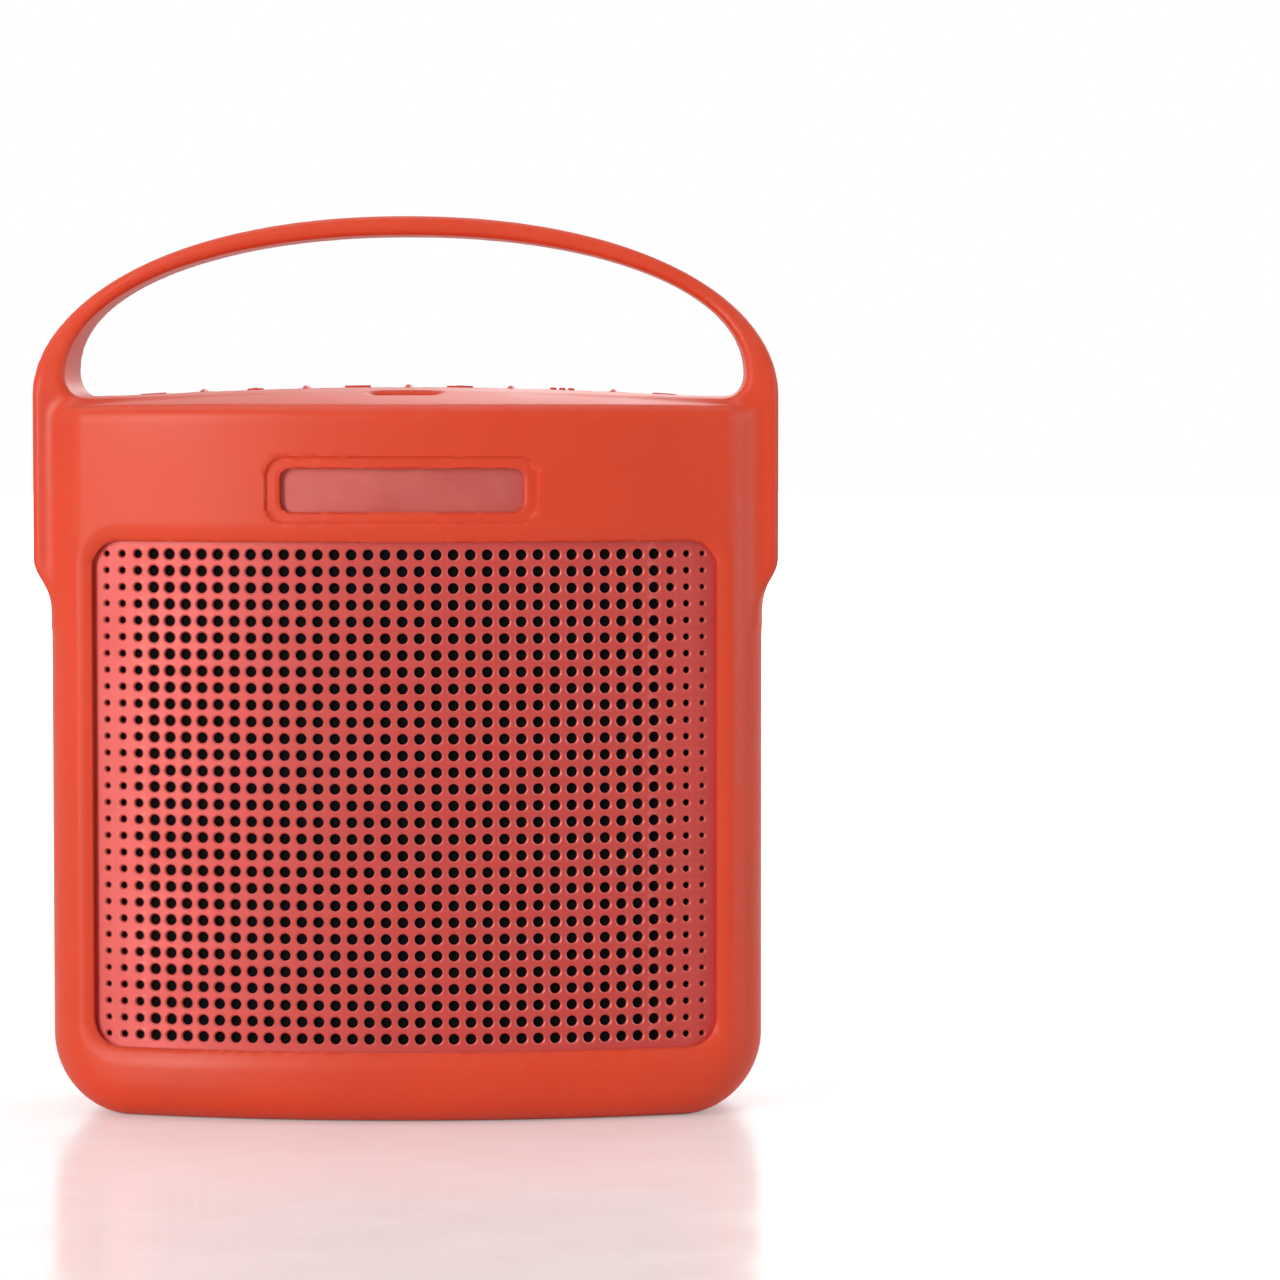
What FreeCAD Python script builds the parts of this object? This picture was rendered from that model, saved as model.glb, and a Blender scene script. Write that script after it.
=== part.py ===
"""A portable speaker in a moulded silicone carry sleeve, as an assembly of separate pieces.

Frame: millimetres, +Z up, origin at the centre of the underside.  The front faces -Y and +X is to the
right of someone who looks at the front.  "Left" and "right" below are that viewer's.

Every wall of the speaker is the same pillow shape: an outline with round lower corners seen from the
front, two faces bowed in plan, a shallow dome for a roof and soft rims.  pillow(inset) draws it at any
depth under the sleeve's skin, so walls, fits and cavities all come from one set of sizes.
"""
import FreeCAD
import Part
import math
import os

V = FreeCAD.Vector

# ---------------------------------------------------------------- driving dimensions (mm)
# the speaker body and its sleeve
SPEAKER_WIDTH = 128.0
SPEAKER_HEIGHT = 131.0
SPEAKER_DEPTH = 56.0
SLEEVE_WALL = 2.5
SLEEVE_FIT = 0.1             # free space between speaker and sleeve
HOUSING_WALL = 2.2
FACE_BOW = 13.375            # how far the bowed front and rear fall back at the sleeve's sides
BASE_CORNER_RADIUS = 15.0    # lower corners seen from the front
RIM_RADIUS = 7.0             # soft edge between a face and the sides
CREASE_RADIUS = 2.2          # tighter edge between the roof and the walls
ROOF_RADIUS_ACROSS = 804.0
ROOF_RADIUS_DEEP = 127.0

# the carry handle, one moulding with the sleeve
HANDLE_RISE = 32.0           # crown of the handle above the crown of the sleeve's roof
HANDLE_DEPTH = 16.0
HANDLE_THICKNESS = 3.5       # at the crown
HANDLE_EDGE_RADIUS = 1.5
HANDLE_FULLNESS = 0.59       # of the outer curve: 0.552 is an ellipse
OPENING_FULLNESS = 0.585
LUG_DEPTH = 30.0
LUG_STAND_OUT = 3.0          # how far each root stands out of the sleeve's side
LUG_LENGTH = 30.0            # full height part of a lug, below the spring line of the arch
LUG_TAPER = 10.5
LEG_THICKNESS = 6.0          # of a leg where the opening is widest
SPRING_DROP = 2.0            # spring line of the outer curve below the roof's crown
OPENING_CORNER_RADIUS = 5.0

# grilles
WINDOW_SIDE_MARGIN = 8.6     # sleeve's side to the window's edge
WINDOW_RADIUS = 5.0
WINDOW_LIP_RADIUS = 1.2
FRONT_WINDOW_FOOT = 13.3
FRONT_WINDOW_DROP = 28.5     # crown of the roof to the window's upper edge
REAR_WINDOW_DROP = 15.4      # crown of the roof to the window's upper edge
REAR_WINDOW_HEIGHT = 25.4
GRILLE_THICKNESS = 0.8
GRILLE_LAP = 2.4             # grille hidden under the sleeve's lip
GRILLE_GAP = 0.15            # round the grille in its seat
COLUMN_PITCH = 3.13
ROW_PITCH = 3.085
HOLE_EDGE_MARGIN = 1.9       # window's edge to the centre of the outermost holes
HOLE_DIAMETER = 2.05
EDGE_HOLE_DIAMETERS = (1.0, 1.3, 1.65)   # from the side inwards
CLOTH_THICKNESS = 0.3
CLOTH_INSET = 0.3
SEAT_LEDGE = 2.0             # ledge that carries a grille's edge
SEAT_PLAY = 0.05

# blank badge above the front grille
BADGE_WINDOW = (45.0, 8.0, 2.0)      # width, height, corner radius
BADGE_FIELD = (50.0, 12.0, 3.0)      # shallow field in the sleeve round that window
BADGE_FIELD_DEPTH = 0.8
BADGE_DROP = 19.0            # crown of the roof to the badge's centre
BADGE_THICKNESS = 1.0
BADGE_LAP = 1.2

# round medallion field on the sleeve's rear
MEDALLION_DIAMETER = 30.0
MEDALLION_HEIGHT = 65.0
MEDALLION_DEPTH = 0.4

# keys on the roof
KEY_COUNT = 6
KEY_PITCH = 19.33
PAD_WIDTH = 15.4
PAD_DEPTH = 13.0
PAD_RADIUS = 4.0
PAD_GAP = 0.35               # groove round each pad
KEY_TRAVEL = 0.6
KEY_HEAD_WIDTH = 11.0
KEY_HEAD_DEPTH = 9.0
KEY_HEAD_RADIUS = 2.0
KEY_HEAD_THICKNESS = 1.0
KEY_CLEARANCE = 0.25
KEY_STEM_RADIUS = 1.5
STOP_CLEARANCE = 0.15        # left under a key at the end of its travel
ICON_RELIEF = 0.4
TICK_WIDTH = 1.4
TICK_HEIGHT = 0.65
TICK_LENGTH = 9.0
PANEL_DEPTH = 25.0
PANEL_SIDE_MARGIN = 5.0      # speaker's side to the control panel's end
PANEL_FLANGE = 2.0
PANEL_BODY = 5.8             # crown of the panel to its flat underside
PANEL_GAP = 0.15
BOARD_THICKNESS = 1.6
SWITCH_SIZE = 6.0
SWITCH_HEIGHT = 3.5
SWITCH_BORE_DEPTH = 1.6
STEM_ENTRY = 0.7             # stem inside the switch at rest
BUTTON_BOARD_DROP = 6.6      # panel's underside to the board's top
BUTTON_BOARD_DEPTH = 18.0
BOARD_POST_RADIUS = 2.5

# status window
LENS_WIDTH = 11.0
LENS_DEPTH = 4.0
LENS_Y = -16.2
LENS_THICKNESS = 1.6
SLEEVE_LENS_MARGIN = 0.6
PIPE_INSET = 0.8
LED_SIZE = (2.0, 1.2, 0.8)

# loudspeaker drive units
DRIVER_SPREAD = 58.0         # between the two axes
DRIVER_HEIGHT = 50.0
DRIVER_FLANGE_RADIUS = 22.0
DRIVER_CONE_RADIUS = 15.0
DRIVER_BASKET_RADIUS = 18.0
DRIVER_BASKET_DEPTH = 10.5
COIL_RADIUS = 6.5
COIL_WALL = 0.3
GAP_CLEARANCE = 0.4
MAGNET_RADIUS = 14.0
MAGNET_LENGTH = 6.0
POLE_PLATE = 2.0
SHEET_METAL = 1.2
CONE_WALL = 0.6
ROLL_WALL = 0.4
SURROUND_LANDING = 1.0
BAFFLE_THICKNESS = 2.5
BAFFLE_GAP = 0.7             # cloth to baffle at the grille's side edge
BAFFLE_HOLE_CLEARANCE = 0.4
DRIVER_GASKET = 0.4

# passive radiators
RADIATOR_LENGTH = 84.0
FRONT_RADIATOR_WIDTH = 26.0
REAR_RADIATOR_WIDTH = 22.0
FRONT_RADIATOR_DROP = 18.0   # window's upper edge to the radiator's centre
RADIATOR_FRAME = 4.0         # frame width all round
RADIATOR_ROLL = 4.5          # width of the rubber roll
RADIATOR_PLATE = 1.5

# power and electronics
BATTERY_CELL = (32.5, 8.0, 44.0)
BATTERY_CELL_GAP = 1.0
BATTERY_FOOT = 14.0
BATTERY_FACE_Y = 10.5
TRAY_WALL = 1.2
MAIN_BOARD_WIDTH = 84.0
BOARD_MARGIN = 0.8            # above and below the board in its bay
MAIN_BOARD_Y = 14.0
LEAD_RADIUS = 0.7
RIBBON_THICKNESS = 0.3
RIBBON_WIDTH = 10.0

# sockets on the right hand side
PORT_WINDOW = (11.0, 26.0)   # depth and height of the sleeve's opening
PORT_HEIGHT = 32.0
PORT_BEZEL = (10.0, 23.0)
PORT_RISE = 6.5              # each socket above or below the middle of the opening
JACK_BORE_RADIUS = 1.8
JACK_NOSE_RADIUS = 3.0
JACK_LENGTH = 14.0
JACK_BODY = (11.5, 5.0, 7.0)
USB_SHELL = (7.4, 3.3, 9.0)
USB_MOUTH = (2.4, 8.2)
USB_WALL_DEPTH = 6.2
PORT_BOARD = (15.0, 31.0)
FIT = 0.1                    # free space between fixed pieces that only locate

# fasteners and foot
SCREW_RADIUS = 1.3
SCREW_HEAD_RADIUS = 2.3
SCREW_HEAD = 1.8
SCREW_BITE = 8.0
PILOT_CLEARANCE = 0.05
BOSS_RADIUS = 3.2
GASKET_THICKNESS = 0.8
GASKET_EDGE = 0.6
FOOT_THICKNESS = 1.2
FOOT_SIZE = (84.0, 24.0, 11.0)

# ---------------------------------------------------------------- places that follow from them
SLEEVE_HALF_WIDTH = SPEAKER_WIDTH / 2 + SLEEVE_WALL
SLEEVE_HALF_DEPTH = SPEAKER_DEPTH / 2 + SLEEVE_WALL
CROWN = SPEAKER_HEIGHT + 2 * SLEEVE_WALL
HOUSING_INSET = SLEEVE_WALL + HOUSING_WALL
SPEAKER_HALF_WIDTH = SPEAKER_WIDTH / 2
INNER_HALF_WIDTH = SPEAKER_HALF_WIDTH - HOUSING_WALL
FACE_RADIUS = (SLEEVE_HALF_WIDTH ** 2 + FACE_BOW ** 2) / (2 * FACE_BOW)
WINDOW_HALF_WIDTH = SLEEVE_HALF_WIDTH - WINDOW_SIDE_MARGIN
FRONT_WINDOW_HEIGHT = CROWN - FRONT_WINDOW_DROP - FRONT_WINDOW_FOOT
FRONT_RADIATOR_HEIGHT = FRONT_WINDOW_FOOT + FRONT_WINDOW_HEIGHT - FRONT_RADIATOR_DROP
FRONT_WINDOW_CENTRE = FRONT_WINDOW_FOOT + FRONT_WINDOW_HEIGHT / 2
REAR_WINDOW_HALF_WIDTH = WINDOW_HALF_WIDTH - 1.3
REAR_WINDOW_CENTRE = CROWN - REAR_WINDOW_DROP - REAR_WINDOW_HEIGHT / 2
BADGE_CENTRE = CROWN - BADGE_DROP
KEY_XS = [(i - (KEY_COUNT - 1) / 2) * KEY_PITCH for i in range(KEY_COUNT)]
KEY_NAMES = ["power", "pairing", "volume_down", "volume_up", "multifunction", "input"]
ROOF_OF_SPEAKER = CROWN - SLEEVE_WALL
PANEL_FLOOR = ROOF_OF_SPEAKER - PANEL_BODY
BUTTON_BOARD_TOP = PANEL_FLOOR - BUTTON_BOARD_DROP
FAR = 400.0                  # longer than anything here


def face_sag(x, inset):
    """How far a bowed face has fallen back at x, at that depth under the skin."""
    radius = FACE_RADIUS - inset
    return radius - math.sqrt(radius ** 2 - x ** 2)


def roof_height(x, inset, y=0.0):
    """Height of the dome over the point x, y, at that depth under the skin."""
    deep = ROOF_RADIUS_DEEP - inset
    across = ROOF_RADIUS_ACROSS - inset
    fall = deep - math.sqrt(deep ** 2 - y ** 2)
    return CROWN - inset - across + math.sqrt((across - fall) ** 2 - x ** 2)


GRILLE_HALF_WIDTH = WINDOW_HALF_WIDTH + GRILLE_LAP
SEAT_DEPTH = GRILLE_THICKNESS + CLOTH_THICKNESS + SEAT_PLAY
BAFFLE_FACE = (SPEAKER_DEPTH / 2 - face_sag(GRILLE_HALF_WIDTH, SLEEVE_WALL)
               - GRILLE_THICKNESS - CLOTH_THICKNESS - BAFFLE_GAP)
REAR_BAFFLE_FACE = BAFFLE_FACE + 1.5
REAR_BAY_FOOT = REAR_WINDOW_CENTRE - REAR_WINDOW_HEIGHT / 2 - GRILLE_LAP - 1.0
MAIN_BOARD_FOOT = BATTERY_FOOT + BATTERY_CELL[2] + FIT + TRAY_WALL + BOARD_MARGIN
MAIN_BOARD_HEIGHT = REAR_BAY_FOOT - BOARD_MARGIN - MAIN_BOARD_FOOT
DRIVER_SEAT = -BAFFLE_FACE - DRIVER_GASKET


# ---------------------------------------------------------------- plain building blocks
def edge(a, b):
    return Part.LineSegment(a, b).toShape()


def rounded_rectangle(width, height, radius, across, up, centre):
    """A rounded rectangle as a face; across and up are unit vectors."""
    radius = min(radius, width / 2 - 1e-3, height / 2 - 1e-3)
    w, h = width / 2, height / 2
    edges = []
    corners = [(1, -1, 1, 0), (1, 1, 0, 1), (-1, 1, -1, 0), (-1, -1, 0, -1)]
    points = []
    for sx, sy, _, _ in corners:
        cx, cy = sx * (w - radius), sy * (h - radius)
        a = math.atan2(sy, sx)
        points.append([(cx + radius * math.cos(a + d), cy + radius * math.sin(a + d))
                       for d in (-math.pi / 4, 0, math.pi / 4)])

    def place(p):
        return centre + across * p[0] + up * p[1]

    for i, corner in enumerate(points):
        edges.append(Part.Arc(*[place(p) for p in corner]).toShape())
        edges.append(edge(place(corner[2]), place(points[(i + 1) % 4][0])))
    return Part.Face(Part.Wire(edges))


def front_prism(width, height, radius, x, z, y0, y1):
    """Rounded rectangle seen from the front, from y0 to y1."""
    face = rounded_rectangle(width, height, radius, V(1, 0, 0), V(0, 0, 1), V(x, y0, z))
    return face.extrude(V(0, y1 - y0, 0))


def top_prism(width, depth, radius, x, y, z0, z1):
    """Rounded rectangle seen from above, from z0 to z1."""
    face = rounded_rectangle(width, depth, radius, V(1, 0, 0), V(0, 1, 0), V(x, y, z0))
    return face.extrude(V(0, 0, z1 - z0))


def side_prism(depth, height, radius, y, z, x0, x1):
    """Rounded rectangle seen from the side, from x0 to x1."""
    face = rounded_rectangle(depth, height, radius, V(0, 1, 0), V(0, 0, 1), V(x0, y, z))
    return face.extrude(V(x1 - x0, 0, 0))


def block(x0, x1, y0, y1, z0, z1):
    return Part.makeBox(x1 - x0, y1 - y0, z1 - z0, V(x0, y0, z0))


def post(radius, x, z, y0, y1):
    """Cylinder along Y."""
    return Part.makeCylinder(radius, y1 - y0, V(x, y0, z), V(0, 1, 0))


def upright(radius, x, y, z0, z1):
    """Cylinder along Z."""
    return Part.makeCylinder(radius, z1 - z0, V(x, y, z0), V(0, 0, 1))


def join(shapes):
    first, rest = shapes[0], list(shapes[1:])
    return first.fuse(rest).removeSplitter() if rest else first


def turned(profile, centre):
    """Solid of revolution about a line along Y through centre, from (radius, y) points."""
    points = [V(r, y, 0) for r, y in profile]
    wire = Part.makePolygon(points + [points[0]])
    solid = Part.Face(wire).revolve(V(0, 0, 0), V(0, 1, 0), 360)
    solid.translate(centre)
    return solid


def save(name, shape):
    """Writes one node.  A node may hold several separate solids."""
    solids = shape.Solids
    if not solids:
        raise ValueError(name + " holds no solid")
    shape = solids[0] if len(solids) == 1 else Part.makeCompound(solids)
    if not shape.isValid():
        print("NOT VALID:", name)
    shape.exportStep(os.path.join("parts", name + ".step"))
    print(f"{name}: {len(solids)} solid(s), {shape.Volume:.1f} mm3")


# ---------------------------------------------------------------- the pillow
def front_outline(half_width, floor, top, radius, y):
    """Face seen from the front: round lower corners, open straight sides up to top."""
    k = radius * (1 - math.sqrt(0.5))
    p = [V(-half_width, y, top), V(-half_width, y, floor + radius),
         V(-half_width + radius, y, floor), V(half_width - radius, y, floor),
         V(half_width, y, floor + radius), V(half_width, y, top)]
    left = V(-half_width + k, y, floor + k)
    right = V(half_width - k, y, floor + k)
    edges = [edge(p[0], p[1]), Part.Arc(p[1], left, p[2]).toShape(), edge(p[2], p[3]),
             Part.Arc(p[3], right, p[4]).toShape(), edge(p[4], p[5]), edge(p[5], p[0])]
    return Part.Face(Part.Wire(edges))


def bowed_prism(inset, z0, z1):
    """Between the two bowed faces, wider than the speaker, from z0 to z1."""
    radius = FACE_RADIUS - inset
    depth = SLEEVE_HALF_DEPTH - inset
    reach = SLEEVE_HALF_WIDTH * 1.2
    y = depth - radius + math.sqrt(radius ** 2 - reach ** 2)
    edges = [Part.Arc(V(-reach, -y, z0), V(0, -depth, z0), V(reach, -y, z0)).toShape(),
             edge(V(reach, -y, z0), V(reach, y, z0)),
             Part.Arc(V(reach, y, z0), V(0, depth, z0), V(-reach, y, z0)).toShape(),
             edge(V(-reach, y, z0), V(-reach, -y, z0))]
    return Part.Face(Part.Wire(edges)).extrude(V(0, 0, z1 - z0))


def under_roof(inset):
    """Everything under the dome."""
    radius = ROOF_RADIUS_DEEP - inset
    crown = CROWN - inset
    half = SLEEVE_HALF_DEPTH * 1.6
    fall = radius - math.sqrt(radius ** 2 - half ** 2)
    low = -0.3 * CROWN
    profile = [Part.Arc(V(0, -half, crown - fall), V(0, 0, crown), V(0, half, crown - fall)).toShape(),
               edge(V(0, half, crown - fall), V(0, half, low)),
               edge(V(0, half, low), V(0, -half, low)),
               edge(V(0, -half, low), V(0, -half, crown - fall))]
    face = Part.Face(Part.Wire(profile))
    hub = V(0, 0, CROWN - ROOF_RADIUS_ACROSS)
    angle = math.degrees(math.asin(SLEEVE_HALF_WIDTH * 1.3 / ROOF_RADIUS_ACROSS))
    face.rotate(hub, V(0, 1, 0), -angle)
    return face.revolve(hub, V(0, 1, 0), 2 * angle)


def pillow(inset):
    """The speaker's shape at that depth under the sleeve's skin."""
    half_width = SLEEVE_HALF_WIDTH - inset
    over = CROWN * 1.2
    outline = front_outline(half_width, inset, over, BASE_CORNER_RADIUS - inset, -FAR / 4)
    body = outline.extrude(V(0, FAR / 2, 0)).common(bowed_prism(inset, -over, 2 * over))
    radius = FACE_RADIUS - inset
    hub = radius - (SLEEVE_HALF_DEPTH - inset)

    def on_face(p):
        return abs(math.hypot(p.x, abs(p.y) + hub) - radius) < 1e-3

    rims = [e for e in body.Edges
            if all(on_face(p) and p.z < over - 1 for p in e.discretize(5)[1:-1])]
    body = body.makeFillet(RIM_RADIUS - inset, rims)
    body = body.common(under_roof(inset))
    crease = [e for e in body.Edges
              if all(abs(p.z - roof_height(p.x, inset, p.y)) < 0.02 for p in e.discretize(7))]
    return body.makeFillet(max(CREASE_RADIUS - inset / 2, 0.4), crease)


def skin_layer(outer, inner, side):
    """Bowed layer between two depths, on the front (side -1) or the rear (side 1)."""
    layer = bowed_prism(outer, -FAR / 4, FAR / 2).cut(bowed_prism(inner, -FAR, FAR))
    keep = block(-FAR, FAR, 0, FAR, -FAR, FAR) if side > 0 else block(-FAR, FAR, -FAR, 0, -FAR, FAR)
    return layer.common(keep)


def layer_piece(width, height, radius, z, outer, inner, side):
    """A rounded rectangle of a bowed layer, centred on x = 0."""
    prism = front_prism(width, height, radius, 0, z, -FAR / 4, FAR / 4)
    return skin_layer(outer, inner, side).common(prism)


# ---------------------------------------------------------------- the sleeve and its handle
def handle_blank():
    """The carry handle with its two lugs, before it is joined to the sleeve."""
    half = SLEEVE_HALF_WIDTH + LUG_STAND_OUT
    spring = CROWN - SPRING_DROP
    rise = HANDLE_RISE + SPRING_DROP
    y = -LUG_DEPTH / 2
    top = spring + rise
    arch = []
    for side in (1, -1):
        quarter = Part.BezierCurve()
        quarter.setPoles([V(side * half, y, spring), V(side * half, y, spring + HANDLE_FULLNESS * rise),
                          V(side * HANDLE_FULLNESS * half, y, top), V(0, y, top)])
        arch.append(quarter.toShape())
    full = spring - LUG_LENGTH
    toe = full - LUG_TAPER
    root = SLEEVE_HALF_WIDTH - SLEEVE_WALL / 2

    def taper(side):
        soft = Part.BezierCurve()
        soft.setPoles([V(side * half, y, full), V(side * half, y, full - LUG_TAPER / 2),
                       V(side * root, y, toe + LUG_TAPER / 3), V(side * root, y, toe)])
        return soft.toShape()

    edges = [arch[0], arch[1], edge(V(-half, y, spring), V(-half, y, full)), taper(-1),
             edge(V(-root, y, toe), V(root, y, toe)), taper(1),
             edge(V(half, y, full), V(half, y, spring))]
    blank = Part.Face(Part.Wire(edges)).extrude(V(0, LUG_DEPTH, 0)).common(handle_side_view())
    outer = [e for e in blank.Edges if is_handle_rim(e, toe + 1)]
    blank = blank.makeFillet(HANDLE_EDGE_RADIUS, outer)
    return blank.cut(handle_opening())


def handle_side_depth(z):
    """Half depth of the handle at height z: full in the lugs, waisted towards the crown."""
    t = min(max((z - CROWN) / (0.55 * HANDLE_RISE), 0.0), 1.0)
    ease = t * t * (3 - 2 * t)
    return LUG_DEPTH / 2 + (HANDLE_DEPTH - LUG_DEPTH) / 2 * ease


def handle_side_view():
    low, high = CROWN / 2, CROWN + 0.55 * HANDLE_RISE
    top = CROWN + HANDLE_RISE + 5
    a, b = LUG_DEPTH / 2, HANDLE_DEPTH / 2
    x = -FAR / 4
    third = (high - CROWN) / 2
    edges = []
    for side in (-1, 1):
        neck = Part.BezierCurve()
        neck.setPoles([V(x, side * a, CROWN), V(x, side * a, CROWN + third),
                       V(x, side * b, high - third), V(x, side * b, high)])
        run = [edge(V(x, side * a, low), V(x, side * a, CROWN)), neck.toShape(),
               edge(V(x, side * b, high), V(x, side * b, top))]
        edges += run if side < 0 else list(reversed(run))
        edges.append(edge(V(x, side * b, top), V(x, -side * b, top)) if side < 0
                     else edge(V(x, side * a, low), V(x, -side * a, low)))
    return Part.Face(Part.Wire(edges)).extrude(V(FAR / 2, 0, 0))


def is_handle_rim(e, lowest):
    """Edges between the outer curve of the handle and its front or rear."""
    mid = e.valueAt((e.FirstParameter + e.LastParameter) / 2)
    ends = [v.Point for v in e.Vertexes]
    beside = all(abs(abs(p.y) - handle_side_depth(p.z)) < 1.0 for p in ends + [mid])
    level = len(ends) == 2 and ends[0].y * ends[1].y > 0
    return beside and level and e.BoundBox.ZMax > lowest


def handle_opening():
    """The finger opening: half an ellipse over a low slot whose ends are round."""
    a = SLEEVE_HALF_WIDTH + LUG_STAND_OUT - LEG_THICKNESS
    r = OPENING_CORNER_RADIUS
    foot = roof_height(a - r, 0)
    centre = foot + r
    top = CROWN + HANDLE_RISE - HANDLE_THICKNESS
    y = -FAR / 8
    k = r * (1 - math.sqrt(0.5))
    b = top - centre
    edges = []
    for side in (1, -1):
        quarter = Part.BezierCurve()
        quarter.setPoles([V(side * a, y, centre), V(side * a, y, centre + OPENING_FULLNESS * b),
                          V(side * OPENING_FULLNESS * a, y, top), V(0, y, top)])
        edges.append(quarter.toShape())
    edges += [Part.Arc(V(-a, y, centre), V(-a + k, y, foot + k), V(-a + r, y, foot)).toShape(),
              edge(V(-a + r, y, foot), V(a - r, y, foot)),
              Part.Arc(V(a - r, y, foot), V(a - k, y, foot + k), V(a, y, centre)).toShape()]
    return Part.Face(Part.Wire(edges)).extrude(V(0, FAR / 4, 0))


def pad_prism(x, grow):
    return top_prism(PAD_WIDTH + 2 * grow, PAD_DEPTH + 2 * grow, PAD_RADIUS + grow, x, 0,
                     CROWN - 12, CROWN + 12)


def ticks():
    """Low ridges between the pads, so that fingers can count them."""
    ridges = []
    for i in range(KEY_COUNT - 1):
        x = (KEY_XS[i] + KEY_XS[i + 1]) / 2
        base = roof_height(x, 0, TICK_LENGTH / 2) - 0.3
        tip = roof_height(x, 0) + TICK_HEIGHT
        w = TICK_WIDTH / 2
        y = -TICK_LENGTH / 2
        wire = Part.makePolygon([V(x - w, y, base), V(x + w, y, base), V(x, y, tip), V(x - w, y, base)])
        ridges.append(Part.Face(wire).extrude(V(0, TICK_LENGTH, 0)))
    return ridges


def lens_prism(grow, z0, z1):
    return top_prism(LENS_WIDTH + 2 * grow, LENS_DEPTH + 2 * grow, LENS_DEPTH, 0, LENS_Y, z0, z1)


def sleeve():
    skin = join([pillow(0), handle_blank()] + ticks())
    cuts = [pillow(SLEEVE_WALL - SLEEVE_FIT),
            front_prism(2 * WINDOW_HALF_WIDTH, FRONT_WINDOW_HEIGHT, WINDOW_RADIUS, 0,
                        FRONT_WINDOW_CENTRE, -FAR / 4, 0),
            front_prism(2 * REAR_WINDOW_HALF_WIDTH, REAR_WINDOW_HEIGHT, WINDOW_RADIUS, 0,
                        REAR_WINDOW_CENTRE, 0, FAR / 4),
            front_prism(*BADGE_WINDOW, 0, BADGE_CENTRE, -FAR / 4, 0),
            layer_piece(*BADGE_FIELD, BADGE_CENTRE, -1, BADGE_FIELD_DEPTH, -1),
            layer_piece(MEDALLION_DIAMETER, MEDALLION_DIAMETER, MEDALLION_DIAMETER / 2,
                        MEDALLION_HEIGHT, -1, MEDALLION_DEPTH, 1),
            side_prism(*PORT_WINDOW, PORT_WINDOW[0] / 2, 0, PORT_HEIGHT, SPEAKER_HALF_WIDTH - 4, FAR / 4),
            lens_prism(SLEEVE_LENS_MARGIN, CROWN - 12, CROWN + 12)]
    cuts += [pad_prism(x, PAD_GAP) for x in KEY_XS]
    skin = skin.cut(cuts)
    lips = [e for e in skin.Edges if is_window_lip(e)]
    return skin.makeFillet(WINDOW_LIP_RADIUS, lips)


def is_window_lip(e):
    """True for the outer edges of the two grille windows."""
    hub = FACE_RADIUS - SLEEVE_HALF_DEPTH
    for p in e.discretize(5):
        if abs(math.hypot(p.x, abs(p.y) + hub) - FACE_RADIUS) > 1e-3:
            return False
        front = p.y < 0
        half = WINDOW_HALF_WIDTH if front else REAR_WINDOW_HALF_WIDTH
        middle = FRONT_WINDOW_CENTRE if front else REAR_WINDOW_CENTRE
        tall = (FRONT_WINDOW_HEIGHT if front else REAR_WINDOW_HEIGHT) / 2
        dx, dz = abs(p.x) - (half - WINDOW_RADIUS), abs(p.z - middle) - (tall - WINDOW_RADIUS)
        if abs(math.hypot(max(dx, 0), max(dz, 0)) + min(max(dx, dz), 0) - WINDOW_RADIUS) > 1e-2:
            return False
    return True


# ---------------------------------------------------------------- keys
def icon(name, x):
    """The mark on a pad, as prisms through the roof.  Marks are plain and generic."""
    low, high = CROWN - 12, CROWN + 12

    def bar(width, depth, dx=0.0, dy=0.0):
        return top_prism(width, depth, 0.6, x + dx, dy, low, high)

    def disc(radius, dx=0.0, dy=0.0):
        return upright(radius, x + dx, dy, low, high)

    if name == "power":
        ring = disc(2.6).cut([disc(1.8), bar(1.8, 3.0, 0, 2.2)])
        return join([ring, bar(0.9, 2.6, 0, 2.0)])
    if name == "pairing":
        return join([bar(2.8, 1.2, 0, -1.8), bar(2.8, 1.2, 0, 1.8), bar(1.0, 4.0)])
    if name == "volume_down":
        return bar(5.0, 1.3)
    if name == "volume_up":
        return join([bar(5.0, 1.3), bar(1.3, 5.0)])
    if name == "multifunction":
        return Part.makeCompound([disc(0.65, dx) for dx in (-1.6, 0, 1.6)])
    return disc(2.4).cut(disc(1.5))


RAISED_ICONS = ("pairing", "volume_down", "multifunction")


def head_prism(x, grow, low):
    return top_prism(KEY_HEAD_WIDTH + 2 * grow, KEY_HEAD_DEPTH + 2 * grow, KEY_HEAD_RADIUS + grow,
                     x, 0, low, CROWN + 5)


def pad(name, x, roof_skin, core, roof_above, roof_below):
    """Silicone pad: a plug of the sleeve's own roof with its mark raised or sunk.

    Round its core, which sits on the key, the pad is thinner so that it can go down with the key.
    """
    body = join([roof_skin.common(pad_prism(x, 0)), core.common(head_prism(x, -0.2, CROWN - 12))])
    if name in RAISED_ICONS:
        return body.fuse(roof_above.common(icon(name, x))).removeSplitter()
    return body.cut(roof_below.common(icon(name, x)))


def key_floor(x):
    """Floor of a key's pocket in the control panel."""
    outer = abs(x) + KEY_HEAD_WIDTH / 2
    lowest = roof_height(outer, SLEEVE_WALL, KEY_HEAD_DEPTH / 2)
    return lowest - KEY_HEAD_THICKNESS - KEY_TRAVEL - STOP_CLEARANCE


def key(x, speaker_body):
    """Hard key under a pad: a head in the panel's pocket and a stem down into its switch."""
    under = key_floor(x) + KEY_TRAVEL + STOP_CLEARANCE
    head = head_prism(x, 0, under).common(speaker_body)
    foot = BUTTON_BOARD_TOP + SWITCH_HEIGHT - STEM_ENTRY
    return join([head, upright(KEY_STEM_RADIUS, x, 0, foot, under + 0.2)])


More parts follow.
